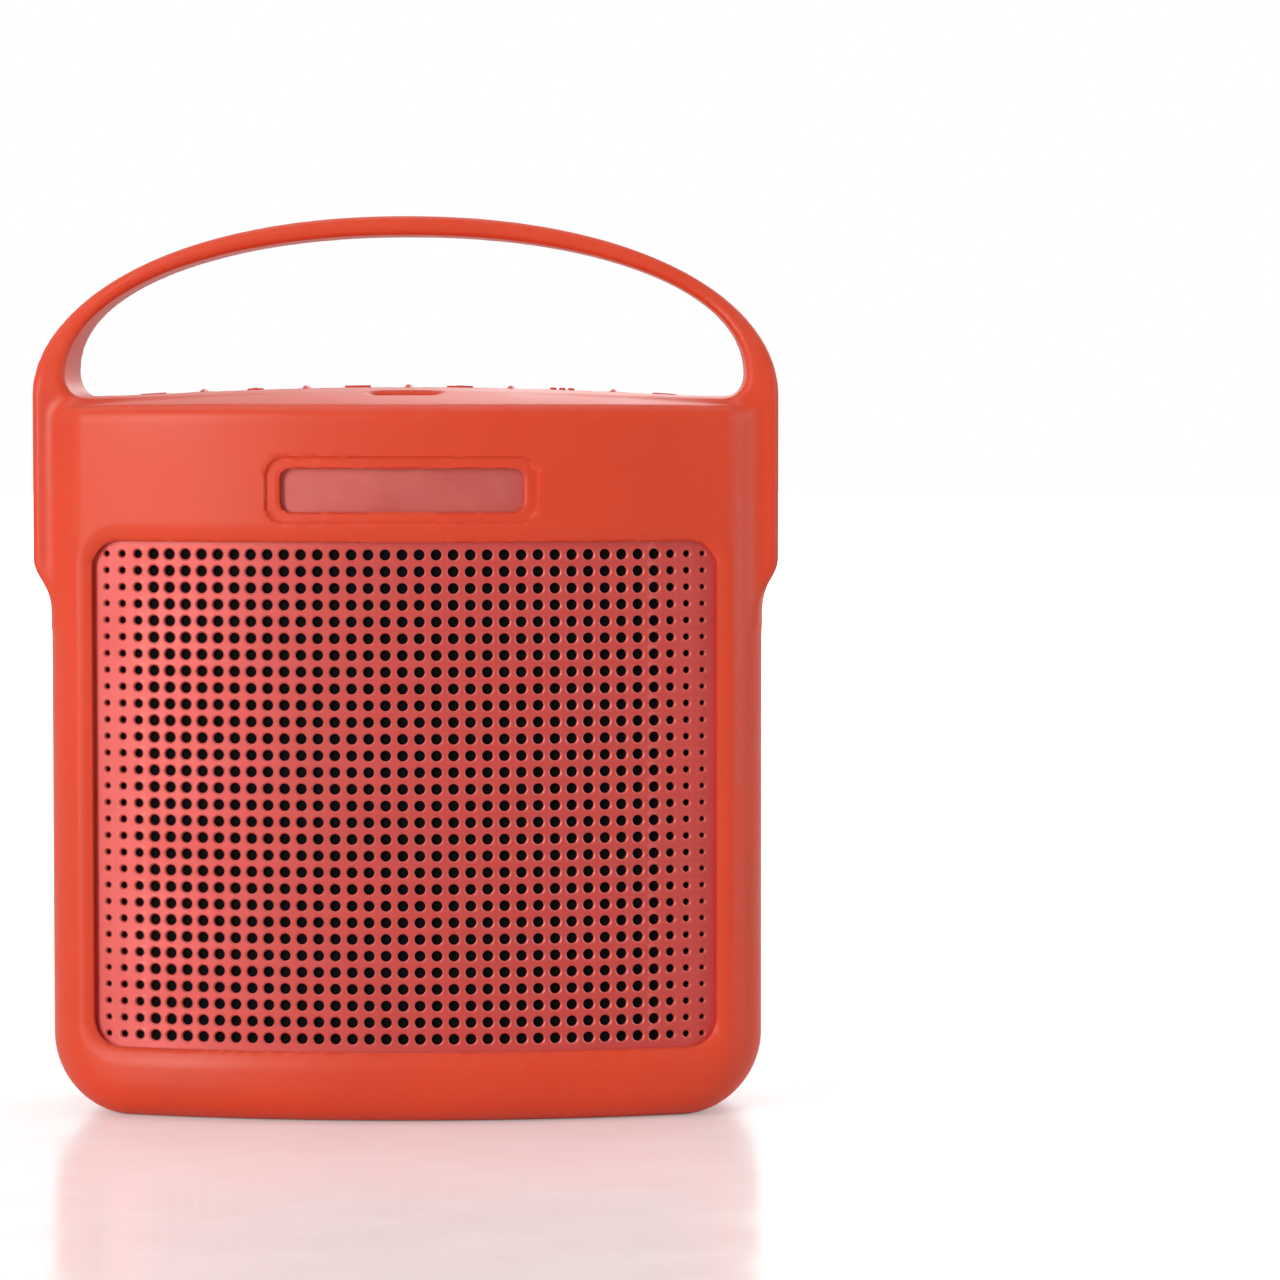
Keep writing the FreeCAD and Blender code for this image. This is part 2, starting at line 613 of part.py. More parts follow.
def panel_outline(grow, z0, z1):
    width = 2 * (SPEAKER_HALF_WIDTH - PANEL_SIDE_MARGIN)
    return top_prism(width + 2 * grow, PANEL_DEPTH + 2 * grow, 6 + grow, 0, 0, z0, z1)


BOARD_POSTS = [(sx * 2 * KEY_PITCH, sy * 5.5) for sx in (-1, 1) for sy in (-1, 1)]


def control_panel(speaker_body, lining):
    """Hard panel that fills the roof opening; its flange grips the housing from inside."""
    plug = speaker_body.common(panel_outline(0, PANEL_FLOOR, CROWN))
    flange = lining.common(panel_outline(PANEL_FLANGE, PANEL_FLOOR, CROWN))
    posts = [upright(BOARD_POST_RADIUS, x, y, BUTTON_BOARD_TOP, PANEL_FLOOR + 1) for x, y in BOARD_POSTS]
    panel = join([plug, flange] + posts)
    cuts = []
    for x in KEY_XS:
        cuts.append(head_prism(x, KEY_CLEARANCE, key_floor(x)))
        cuts.append(upright(KEY_STEM_RADIUS + KEY_CLEARANCE, x, 0, PANEL_FLOOR - 1, CROWN))
    for x, y in BOARD_POSTS:
        cuts.append(upright(SCREW_RADIUS + PILOT_CLEARANCE, x, y, BUTTON_BOARD_TOP - 1,
                            BUTTON_BOARD_TOP + 6))
    return panel.cut(cuts)


def button_board():
    floor = BUTTON_BOARD_TOP - BOARD_THICKNESS
    width = (KEY_COUNT - 1) * KEY_PITCH + SWITCH_SIZE + 8
    board = top_prism(width, BUTTON_BOARD_DEPTH, 2, 0, 0, floor, BUTTON_BOARD_TOP)
    tab = block(-9, 9, LENS_Y - 3, 0, floor, BUTTON_BOARD_TOP)
    holes = [upright(SCREW_RADIUS + FIT, x, y, floor - 1, BUTTON_BOARD_TOP + 1) for x, y in BOARD_POSTS]
    return join([board, tab]).cut(holes)


def tact_switches():
    solids = []
    h = SWITCH_SIZE / 2
    for x in KEY_XS:
        body = block(x - h, x + h, -h, h, BUTTON_BOARD_TOP, BUTTON_BOARD_TOP + SWITCH_HEIGHT)
        top = BUTTON_BOARD_TOP + SWITCH_HEIGHT
        solids.append(body.cut(upright(KEY_STEM_RADIUS + 0.2, x, 0, top - SWITCH_BORE_DEPTH, top + 1)))
    return Part.makeCompound(solids)


def status_parts(speaker_body):
    """Lens in the roof, light pipe under it, two lamps on the board's tab, and the microphone."""
    top = roof_height(0, SLEEVE_WALL, LENS_Y)
    lens = speaker_body.common(lens_prism(0, top - LENS_THICKNESS, CROWN))
    lamp_top = BUTTON_BOARD_TOP + LED_SIZE[2]
    pipe = lens_prism(-PIPE_INSET, lamp_top + FIT, top - LENS_THICKNESS)
    lamps = [block(x - LED_SIZE[0] / 2, x + LED_SIZE[0] / 2, LENS_Y - LED_SIZE[1] / 2,
                   LENS_Y + LED_SIZE[1] / 2, BUTTON_BOARD_TOP, lamp_top) for x in (-2.6, 2.6)]
    can = block(-1.9, 1.9, LENS_Y + 4.0, LENS_Y + 7.0, BUTTON_BOARD_TOP, BUTTON_BOARD_TOP + 1.1)
    save("status_lens", lens)
    save("status_light_pipe", pipe)
    save("status_lamps", Part.makeCompound(lamps))
    save("microphone", can)


# ---------------------------------------------------------------- housing
PARTING = GASKET_THICKNESS / 2
HOUSING_SCREWS = [(-INNER_HALF_WIDTH + 8.8, HOUSING_INSET + 6.5), (INNER_HALF_WIDTH - 8.8, HOUSING_INSET + 6.5),
                  (-INNER_HALF_WIDTH + 6.0, 83.0), (INNER_HALF_WIDTH - 6.0, 83.0),
                  (0.0, HOUSING_INSET + 3.6)]
DRIVER_XS = (-DRIVER_SPREAD / 2, DRIVER_SPREAD / 2)
DRIVER_SCREW_RADIUS = DRIVER_FLANGE_RADIUS - 1.9
DRIVER_SCREWS = [(x + DRIVER_SCREW_RADIUS * math.cos(a), DRIVER_HEIGHT + DRIVER_SCREW_RADIUS * math.sin(a))
                 for x in DRIVER_XS for a in [math.pi * (0.25 + 0.5 * k) for k in range(4)]]
SMALL_SCREW_RADIUS = 0.9
SMALL_HEAD_RADIUS = 1.6
SMALL_HEAD = 1.0
MAIN_BOARD_SCREWS = [(sx * (MAIN_BOARD_WIDTH / 2 - 4), z) for sx in (-1, 1)
                     for z in (MAIN_BOARD_FOOT + 4, MAIN_BOARD_FOOT + MAIN_BOARD_HEIGHT - 4)]
PORT_BOARD_X1 = INNER_HALF_WIDTH - 1.0
PORT_BOARD_Y = JACK_BODY[1] / 2
PORT_BOARD_SCREWS = [(PORT_BOARD_X1 - PORT_BOARD[0] + 3.2, PORT_HEIGHT + s * (PORT_BOARD[1] / 2 - 3))
                     for s in (-1, 1)]
BATTERY_WIDTH = 2 * BATTERY_CELL[0] + BATTERY_CELL_GAP
TRAY_BACK = BATTERY_FACE_Y + BATTERY_CELL[1] + FIT
TRAY_SCREWS = [(sx * (BATTERY_WIDTH / 2 + 4.5), BATTERY_FOOT + 8) for sx in (-1, 1)]


def racetrack(length, width, z, y0, y1):
    return front_prism(length, width, width / 2, 0, z, y0, y1)


def front_housing(speaker_body, lining):
    """Front shell with the baffle that carries the drive units."""
    keep = block(-FAR, FAR, -FAR, -PARTING, -FAR, FAR)
    shell = speaker_body.common(keep)
    ledge_top = FRONT_WINDOW_CENTRE + FRONT_WINDOW_HEIGHT / 2 + GRILLE_LAP + 1.5
    behind_baffle = block(-FAR, FAR, -BAFFLE_FACE + BAFFLE_THICKNESS, FAR, -FAR, ledge_top + 1)
    over_baffle = block(-FAR, FAR, -FAR, FAR, ledge_top, FAR)
    inside = lining.common(join([behind_baffle, over_baffle]))
    bosses = [post(BOSS_RADIUS, x, z, -BAFFLE_FACE, -PARTING) for x, z in HOUSING_SCREWS]
    shell = shell.cut(inside).fuse(bosses)
    width = 2 * GRILLE_HALF_WIDTH
    height = FRONT_WINDOW_HEIGHT + 2 * GRILLE_LAP
    radius = WINDOW_RADIUS + GRILLE_LAP
    gap = GRILLE_GAP
    cuts = [layer_piece(width + 2 * gap, height + 2 * gap, radius, FRONT_WINDOW_CENTRE, -1,
                        SLEEVE_WALL + SEAT_DEPTH, -1),
            front_prism(width - 2 * SEAT_LEDGE, height - 2 * SEAT_LEDGE, radius - SEAT_LEDGE, 0,
                        FRONT_WINDOW_CENTRE, -FAR, -BAFFLE_FACE),
            layer_piece(BADGE_WINDOW[0] + 2 * BADGE_LAP + 2 * gap, BADGE_WINDOW[1] + 2 * BADGE_LAP + 2 * gap,
                        BADGE_WINDOW[2] + BADGE_LAP, BADGE_CENTRE, -1,
                        SLEEVE_WALL + BADGE_THICKNESS + SEAT_PLAY, -1),
            racetrack(RADIATOR_LENGTH - 2 * RADIATOR_FRAME + 1, FRONT_RADIATOR_WIDTH - 2 * RADIATOR_FRAME + 1,
                      FRONT_RADIATOR_HEIGHT, -BAFFLE_FACE - 1, -BAFFLE_FACE + BAFFLE_THICKNESS + 1),
            lens_prism(FIT, BUTTON_BOARD_TOP + 4, CROWN)]
    for x in DRIVER_XS:
        cuts.append(post(DRIVER_BASKET_RADIUS + BAFFLE_HOLE_CLEARANCE, x, DRIVER_HEIGHT,
                         -BAFFLE_FACE - 1, -BAFFLE_FACE + BAFFLE_THICKNESS + 1))
    for x, z in HOUSING_SCREWS:
        cuts.append(post(SCREW_RADIUS + PILOT_CLEARANCE, x, z, -PARTING - SCREW_BITE - 1, 0))
    for x, z in DRIVER_SCREWS:
        cuts.append(post(SMALL_SCREW_RADIUS + PILOT_CLEARANCE, x, z, -BAFFLE_FACE - 1,
                         -BAFFLE_FACE + BAFFLE_THICKNESS + 1))
    cuts += shared_openings()
    return shell.cut(cuts)


def shared_openings():
    """Openings that cross the parting plane: the control panel's and the sockets'."""
    y, z = PORT_BEZEL
    return [panel_outline(PANEL_GAP, PANEL_FLOOR - 6, CROWN + 6),
            side_prism(y + 2 * FIT, z + 2 * FIT, y / 2, 0, PORT_HEIGHT, INNER_HALF_WIDTH - 3, FAR / 4)]


def wall_inside(x, inset):
    """Y of the rear wall at x, at that depth under the skin."""
    return SLEEVE_HALF_DEPTH - inset - face_sag(x, inset)


def rear_housing(speaker_body, lining):
    """Rear shell with the second baffle, all posts and the screw bosses."""
    keep = block(-FAR, FAR, PARTING, FAR, -FAR, FAR)
    shell = speaker_body.common(keep)
    half = REAR_WINDOW_HALF_WIDTH + GRILLE_LAP
    tall = REAR_WINDOW_HEIGHT / 2 + GRILLE_LAP
    solid_zone = block(-half - 1, half + 1, REAR_BAFFLE_FACE - BAFFLE_THICKNESS, FAR,
                       REAR_BAY_FOOT, 2 * REAR_WINDOW_CENTRE - REAR_BAY_FOOT)
    inside = lining.cut(solid_zone)
    shell = shell.cut(inside)
    bosses = [post(BOSS_RADIUS, x, z, PARTING, wall_inside(x, HOUSING_INSET) + 1) for x, z in HOUSING_SCREWS]
    bosses += [post(BOARD_POST_RADIUS, x, z, MAIN_BOARD_Y + BOARD_THICKNESS, wall_inside(x, HOUSING_INSET) + 1)
               for x, z in MAIN_BOARD_SCREWS]
    bosses += [post(BOARD_POST_RADIUS, x, z, PORT_BOARD_Y + BOARD_THICKNESS, wall_inside(x, HOUSING_INSET) + 1)
               for x, z in PORT_BOARD_SCREWS]
    bosses += [post(BOARD_POST_RADIUS, x, z, TRAY_BACK + TRAY_WALL, wall_inside(x, HOUSING_INSET) + 1)
               for x, z in TRAY_SCREWS]
    shell = shell.fuse(bosses)
    gap = GRILLE_GAP
    cuts = [layer_piece(2 * half + 2 * gap, 2 * tall + 2 * gap, WINDOW_RADIUS + GRILLE_LAP, REAR_WINDOW_CENTRE,
                        -1, SLEEVE_WALL + SEAT_DEPTH, 1),
            front_prism(2 * half - 2 * SEAT_LEDGE, 2 * tall - 2 * SEAT_LEDGE, WINDOW_RADIUS, 0,
                        REAR_WINDOW_CENTRE, REAR_BAFFLE_FACE, FAR),
            racetrack(RADIATOR_LENGTH - 2 * RADIATOR_FRAME + 1, REAR_RADIATOR_WIDTH - 2 * RADIATOR_FRAME + 1,
                      REAR_WINDOW_CENTRE, 0, REAR_BAFFLE_FACE + 1)]
    for x, z in HOUSING_SCREWS:
        seat = screw_seat(x)
        cuts.append(post(SCREW_RADIUS + FIT, x, z, 0, FAR))
        cuts.append(post(SCREW_HEAD_RADIUS + FIT, x, z, seat, FAR))
    for screws, start in ((MAIN_BOARD_SCREWS, MAIN_BOARD_Y), (PORT_BOARD_SCREWS, PORT_BOARD_Y),
                          (TRAY_SCREWS, TRAY_BACK)):
        for x, z in screws:
            cuts.append(post(SMALL_SCREW_RADIUS + PILOT_CLEARANCE, x, z, start, start + 5))
    cuts += shared_openings()
    return shell.cut(cuts)


def screw_seat(x):
    """Y of the ledge under a housing screw's head: the head lies under the speaker's skin."""
    return wall_inside(abs(x) + SCREW_HEAD_RADIUS, SLEEVE_WALL) - SCREW_HEAD - 0.3


def housing_gasket():
    ring = pillow(SLEEVE_WALL + GASKET_EDGE).cut(pillow(HOUSING_INSET - GASKET_EDGE / 2))
    ring = ring.common(block(-FAR, FAR, -PARTING, PARTING, -FAR, FAR))
    return ring.cut(shared_openings())


def housing_screws():
    solids = []
    for x, z in HOUSING_SCREWS:
        seat = screw_seat(x)
        shank = post(SCREW_RADIUS, x, z, -PARTING - SCREW_BITE, seat + 0.1)
        head = post(SCREW_HEAD_RADIUS, x, z, seat, seat + SCREW_HEAD)
        slot = block(x - 1.6, x + 1.6, seat + SCREW_HEAD - 0.8, FAR, z - 0.3, z + 0.3)
        solids.append(join([shank, head]).cut(slot))
    return Part.makeCompound(solids)


def small_screw(x, z, seat, length, towards):
    """Screw along Y whose head lies on seat and whose shank runs towards +1 or -1."""
    a, b = sorted((seat, seat + towards * length))
    c, d = sorted((seat, seat - towards * SMALL_HEAD))
    return join([post(SMALL_SCREW_RADIUS, x, z, a, b), post(SMALL_HEAD_RADIUS, x, z, c, d)])


# ---------------------------------------------------------------- grilles, cloths and badge
def hole_positions(half_width, height, centre, columns_between):
    """Hole centres as (x, z, radius): even along the bow, smaller in the outer columns."""
    reach = half_width - HOLE_EDGE_MARGIN
    radius = FACE_RADIUS - SLEEVE_WALL
    offset = 0.5 if columns_between else 0.0
    count = int((radius * math.asin(reach / radius) / COLUMN_PITCH - offset) + 1e-6)
    steps = [i + offset for i in range(count + 1)]
    places = sorted({*steps, *(-s for s in steps)})
    rows = int((height - 2 * HOLE_EDGE_MARGIN) / ROW_PITCH + 1e-6)
    found = []
    for column, s in enumerate(places):
        from_side = min(column, len(places) - 1 - column)
        size = EDGE_HOLE_DIAMETERS[from_side] if from_side < len(EDGE_HOLE_DIAMETERS) else HOLE_DIAMETER
        x = radius * math.sin(s * COLUMN_PITCH / radius)
        for row in range(rows + 1):
            found.append((x, centre + (row - rows / 2) * ROW_PITCH, size / 2))
    return found


def grille(half_width, height, centre, side, columns_between):
    """Bowed steel sheet with round holes."""
    plate = layer_piece(2 * (half_width + GRILLE_LAP), height + 2 * GRILLE_LAP, WINDOW_RADIUS + GRILLE_LAP,
                        centre, SLEEVE_WALL, SLEEVE_WALL + GRILLE_THICKNESS, side)
    y = side * SPEAKER_DEPTH
    drills = [Part.makeCylinder(r, SPEAKER_DEPTH, V(x, y, z), V(0, -side, 0))
              for x, z, r in hole_positions(half_width, height, centre, columns_between)]
    return plate.cut(drills)


def cloth(half_width, height, centre, side):
    inset = GRILLE_LAP - CLOTH_INSET
    return layer_piece(2 * (half_width + inset), height + 2 * inset, WINDOW_RADIUS + inset, centre,
                       SLEEVE_WALL + GRILLE_THICKNESS, SLEEVE_WALL + GRILLE_THICKNESS + CLOTH_THICKNESS, side)


def badge():
    width, height, radius = BADGE_WINDOW
    return layer_piece(width + 2 * BADGE_LAP, height + 2 * BADGE_LAP, radius + BADGE_LAP, BADGE_CENTRE,
                       SLEEVE_WALL, SLEEVE_WALL + BADGE_THICKNESS, -1)


# ---------------------------------------------------------------- drive units
def driver(side, x):
    """One drive unit, facing -Y.  Profiles are (radius, y) from its flange's rear face."""
    at = V(x, DRIVER_SEAT, DRIVER_HEIGHT)
    sheet = SHEET_METAL
    r_flange, r_basket = DRIVER_FLANGE_RADIUS, DRIVER_BASKET_RADIUS
    r_back = MAGNET_RADIUS + 1.0
    depth = DRIVER_BASKET_DEPTH
    lip = DRIVER_CONE_RADIUS + 2.6
    bore = COIL_RADIUS + COIL_WALL + GAP_CLEARANCE
    basket = turned([(lip - 1.0, -sheet), (r_flange, -sheet), (r_flange, 0), (r_basket, 0),
                     (r_back, depth), (bore + 0.6, depth), (bore + 0.6, depth - sheet),
                     (r_back - sheet, depth - sheet), (lip - 1.0, -0.2)], at)
    windows = [block(-FAR, FAR, 3.5, depth - 2.5, -3.5, 3.5), block(-3.5, 3.5, 3.5, depth - 2.5, -FAR, FAR)]
    for w in windows:
        w.translate(at)
        basket = basket.cut(w)
    for sx, sz in DRIVER_SCREWS:
        basket = basket.cut(post(SMALL_SCREW_RADIUS + FIT, sx, sz, -BAFFLE_FACE - 5, -BAFFLE_FACE + 1))
    pole = COIL_RADIUS - GAP_CLEARANCE
    top_plate = turned([(bore, depth), (MAGNET_RADIUS - 1, depth), (MAGNET_RADIUS - 1, depth + POLE_PLATE),
                        (bore, depth + POLE_PLATE)], at)
    magnet = turned([(bore + 1.5, depth + POLE_PLATE), (MAGNET_RADIUS, depth + POLE_PLATE),
                     (MAGNET_RADIUS, depth + POLE_PLATE + MAGNET_LENGTH),
                     (bore + 1.5, depth + POLE_PLATE + MAGNET_LENGTH)], at)
    end = depth + POLE_PLATE + MAGNET_LENGTH
    yoke = turned([(0, depth), (pole, depth), (pole, end), (MAGNET_RADIUS - 1, end),
                   (MAGNET_RADIUS - 1, end + POLE_PLATE), (0, end + POLE_PLATE)], at)
    neck = depth - 4.5
    land = DRIVER_CONE_RADIUS - SURROUND_LANDING
    cone = turned([(COIL_RADIUS + COIL_WALL, neck), (land, -sheet + CONE_WALL),
                   (DRIVER_CONE_RADIUS, -sheet + CONE_WALL), (DRIVER_CONE_RADIUS, -sheet),
                   (land, -sheet), (COIL_RADIUS + COIL_WALL, neck - CONE_WALL)], at)
    coil_end = depth + POLE_PLATE - 0.3
    coil = turned([(COIL_RADIUS, neck - 0.5), (COIL_RADIUS + COIL_WALL, neck - 0.5),
                   (COIL_RADIUS + COIL_WALL, coil_end), (COIL_RADIUS, coil_end)], at)
    cap_ring = [(COIL_RADIUS - 0.02, neck - 0.5), (COIL_RADIUS - 0.02, neck - 1.1), (4.4, neck - 2.0),
                (2.2, neck - 2.5), (0, neck - 2.7), (0, neck - 2.2), (2.2, neck - 2.0), (4.4, neck - 1.5)]
    cap = turned(cap_ring, at)
    spider = turned([(COIL_RADIUS + COIL_WALL, neck + 0.6), (r_back - sheet - 1.2, neck + 0.6),
                     (r_back - sheet - 1.2, neck + 1.0), (COIL_RADIUS + COIL_WALL, neck + 1.0)], at)
    roll = surround_ring(DRIVER_CONE_RADIUS, lip, -sheet, at)
    save(side + "_driver_cone", cone)
    save(side + "_driver_voice_coil", coil)
    save(side + "_driver_dust_cap", cap)
    return {"driver_baskets": [basket], "driver_magnets": [magnet], "driver_yokes": [top_plate, yoke],
            "driver_spiders": [spider], "driver_surrounds": [roll]}


def drivers():
    """Both drive units.  What stands still is one node per kind, what moves one node per side."""
    pair = [driver(side, x) for side, x in zip(("left", "right"), DRIVER_XS)]
    for name in pair[0]:
        save(name, Part.makeCompound(pair[0][name] + pair[1][name]))


def surround_ring(r_in, r_out, y, at):
    """Half roll of rubber between a cone's edge and its flange."""
    mid, rad = (r_in + r_out) / 2, (r_out - r_in) / 2 - 0.1
    steps = 10
    outer, inner = [], []
    for i in range(steps + 1):
        a = math.pi * i / steps
        outer.append((mid - rad * math.cos(a), y - rad * math.sin(a)))
        inner.append((mid - (rad - ROLL_WALL) * math.cos(a), y - (rad - ROLL_WALL) * math.sin(a)))
    outer = [p for p in outer if p[1] < y - ROLL_WALL]
    profile = [(r_in - SURROUND_LANDING, y), (r_in - SURROUND_LANDING, y - ROLL_WALL)]
    profile += outer
    profile += [(r_out + 0.7, y - ROLL_WALL), (r_out + 0.7, y)]
    profile += list(reversed(inner))
    return turned(profile, at)


def driver_gaskets():
    """Foam rings between the baffle and the drive units' flanges."""
    rings = []
    for x in DRIVER_XS:
        inner, outer = DRIVER_BASKET_RADIUS + BAFFLE_HOLE_CLEARANCE, DRIVER_FLANGE_RADIUS - 0.2
        ring = turned([(inner, 0), (outer, 0), (outer, -DRIVER_GASKET), (inner, -DRIVER_GASKET)],
                      V(x, -BAFFLE_FACE, DRIVER_HEIGHT))
        holes = [post(SMALL_SCREW_RADIUS + FIT, sx, sz, -BAFFLE_FACE - 5, -BAFFLE_FACE + 1)
                 for sx, sz in DRIVER_SCREWS]
        rings.append(ring.cut(holes))
    return Part.makeCompound([s for r in rings for s in r.Solids])


def radiator(name, width, z, face, side):
    """Passive radiator on a baffle: a frame, a flat rubber roll and a weighted plate.  side is -1 or 1."""
    def between(a, b):
        return sorted((side * a, side * b))

    inner_l, inner_w = RADIATOR_LENGTH - 2 * RADIATOR_FRAME, width - 2 * RADIATOR_FRAME
    plate_l, plate_w = inner_l - 2 * RADIATOR_ROLL, inner_w - 2 * RADIATOR_ROLL
    seat = face + SHEET_METAL
    frame = racetrack(RADIATOR_LENGTH, width, z, *between(face, seat)).cut(
        racetrack(inner_l, inner_w, z, *between(face - 1, seat + 1)))
    plate = racetrack(plate_l, plate_w, z, *between(face + 0.2, face + 0.2 + RADIATOR_PLATE))
    flat = racetrack(inner_l + 2.4, inner_w + 2.4, z, *between(seat, seat + ROLL_WALL))
    crest = racetrack(inner_l - 1.0, inner_w - 1.0, z, *between(seat, seat + 1.6)).cut(
        racetrack(plate_l + 1.0, plate_w + 1.0, z, *between(seat - 1, seat + 3)))
    hollow = racetrack(inner_l - 2.0, inner_w - 2.0, z, *between(seat - 0.5, seat + 1.1)).cut(
        racetrack(plate_l + 2.0, plate_w + 2.0, z, *between(seat - 1, seat + 3)))
    middle = racetrack(plate_l, plate_w, z, *between(seat - 1, seat + 3))
    roll = join([flat, crest]).cut([hollow, middle])
    save(name + "_radiator_frame", frame)
    save(name + "_radiator_roll", roll)
    save(name + "_radiator_plate", plate)


# ---------------------------------------------------------------- power and electronics
def battery():
    x, y, z = BATTERY_CELL
    gap = BATTERY_CELL_GAP / 2
    cells = []
    for side in (-1, 1):
        x0, x1 = sorted((side * gap, side * (gap + x)))
        cell = block(x0, x1, BATTERY_FACE_Y, BATTERY_FACE_Y + y, BATTERY_FOOT, BATTERY_FOOT + z)
        cells.append(cell.makeFillet(1.5, [e for e in cell.Edges if abs(e.tangentAt(e.FirstParameter).z) > 0.9]))
    half = BATTERY_WIDTH / 2 + FIT
    low, high = BATTERY_FOOT - FIT, BATTERY_FOOT + z + FIT
    tray = block(-half - TRAY_WALL, half + TRAY_WALL, BATTERY_FACE_Y + 2, TRAY_BACK + TRAY_WALL,
                 low - TRAY_WALL, high + TRAY_WALL)
    tray = tray.cut(block(-half, half, 0, TRAY_BACK, low, high))
    ears = [front_prism(9, 7, 2, s[0], s[1], TRAY_BACK, TRAY_BACK + TRAY_WALL) for s in TRAY_SCREWS]
    holes = [post(SMALL_SCREW_RADIUS + FIT, sx, sz, 0, FAR) for sx, sz in TRAY_SCREWS]
    save("battery_cells", Part.makeCompound(cells))
    save("battery_tray", join([tray] + ears).cut(holes))


def main_board():
    w, h = MAIN_BOARD_WIDTH, MAIN_BOARD_HEIGHT
    board = front_prism(w, h, 2, 0, MAIN_BOARD_FOOT + h / 2, MAIN_BOARD_Y, MAIN_BOARD_Y + BOARD_THICKNESS)
    holes = [post(SMALL_SCREW_RADIUS + FIT, x, z, 0, FAR) for x, z in MAIN_BOARD_SCREWS]
    face = MAIN_BOARD_Y

    def chip(x, z, width, height, thick):
        foot = MAIN_BOARD_FOOT + z - height / 2
        return block(x - width / 2, x + width / 2, face - thick, face, foot, foot + height)

    chips = [chip(-24, 17, 9, 9, 1.2), chip(-10, 20, 5, 5, 1.0), chip(4, 18, 7, 7, 1.0)]
    coils = [chip(-32, 26, 6, 6, 3.0), chip(-32, 9, 6, 6, 3.0)]
    cans = [post(2.5, x, MAIN_BOARD_FOOT + 8, face - 6.5, face) for x in (-20, -12.5)]
    sockets = [chip(-2, 4.2, 8, 5, 3.5), chip(14, 4.2, 10, 5, 3.5), chip(25, 27.5, RIBBON_WIDTH + 3, 4, 2.0)]
    save("main_board", board.cut(holes))
    save("board_components", Part.makeCompound(chips + coils + cans + sockets))
    save("radio_shield_can", chip(25, 15, 16, 13, 2.2))


def sockets():
    """Sound and charging sockets on their own board, behind one bezel."""
    mouth = SPEAKER_HALF_WIDTH
    z_jack, z_usb = PORT_HEIGHT + PORT_RISE, PORT_HEIGHT - PORT_RISE
    back = mouth - JACK_LENGTH
    body_end = mouth - HOUSING_WALL - 0.4
    _, ly, lz = JACK_BODY
    jack = block(back - 1.0, body_end, -ly / 2, ly / 2, z_jack - lz / 2, z_jack + lz / 2)
    barrel = Part.makeCylinder(JACK_NOSE_RADIUS, mouth - body_end + 0.3, V(body_end - 0.3, 0, z_jack), V(1, 0, 0))
    bore = Part.makeCylinder(JACK_BORE_RADIUS, JACK_LENGTH + 5, V(back, 0, z_jack), V(1, 0, 0))
    ux, uy, uz = USB_SHELL
    y_usb = PORT_BOARD_Y - uy / 2
    shell = side_prism(uy, uz, uy / 2.2, y_usb, z_usb, mouth - ux, mouth)
    hollow = side_prism(*USB_MOUTH, USB_MOUTH[0] / 2.2, y_usb, z_usb, mouth - USB_WALL_DEPTH, mouth + 1)
    tongue = block(mouth - USB_WALL_DEPTH - 0.5, mouth - 1.2, y_usb - 0.35, y_usb + 0.35,
                   z_usb - 3.2, z_usb + 3.2)
    dy, dz = PORT_BEZEL
    bezel = side_prism(dy, dz, dy / 2, 0, PORT_HEIGHT, mouth - HOUSING_WALL + 0.1, mouth)
    jack_hole = Part.makeCylinder(JACK_NOSE_RADIUS + FIT, 10, V(mouth - 5, 0, z_jack), V(1, 0, 0))
    usb_hole = side_prism(uy + 2 * FIT, uz + 2 * FIT, (uy + 2 * FIT) / 2.2, y_usb, z_usb, mouth - 5, mouth + 1)
    bx, bz = PORT_BOARD
    board = front_prism(bx, bz, 1, PORT_BOARD_X1 - bx / 2, PORT_HEIGHT, PORT_BOARD_Y,
                        PORT_BOARD_Y + BOARD_THICKNESS)
    holes = [post(SMALL_SCREW_RADIUS + FIT, x, z, 0, FAR) for x, z in PORT_BOARD_SCREWS]
    save("sound_socket", join([jack, barrel]).cut(bore))
    save("charging_socket", join([shell.cut(hollow), tongue]))
    save("socket_bezel", bezel.cut([jack_hole, usb_hole]))
    save("socket_board", board.cut(holes))


def bent_path(points, radius):
    """Straight runs joined by tangent arcs."""
    edges, start = [], points[0]
    for i in range(1, len(points) - 1):
        before = (points[i - 1] - points[i]).normalize()
        after = (points[i + 1] - points[i]).normalize()
        half = before.getAngle(after) / 2
        cut = radius / math.tan(half)
        a, b = points[i] + before * cut, points[i] + after * cut
        middle = points[i] + (before + after).normalize() * (radius / math.sin(half) - radius)
        edges += [edge(start, a), Part.Arc(a, middle, b).toShape()]
        start = b
    edges.append(edge(start, points[-1]))
    return Part.Wire(edges)


def lead(points, radius, wire_radius):
    path = bent_path(points, radius)
    first = path.Edges[0]
    tangent = first.tangentAt(first.FirstParameter)
    ring = Part.Wire([Part.makeCircle(wire_radius, points[0], tangent)])
    return path.makePipeShell([ring], True, True)


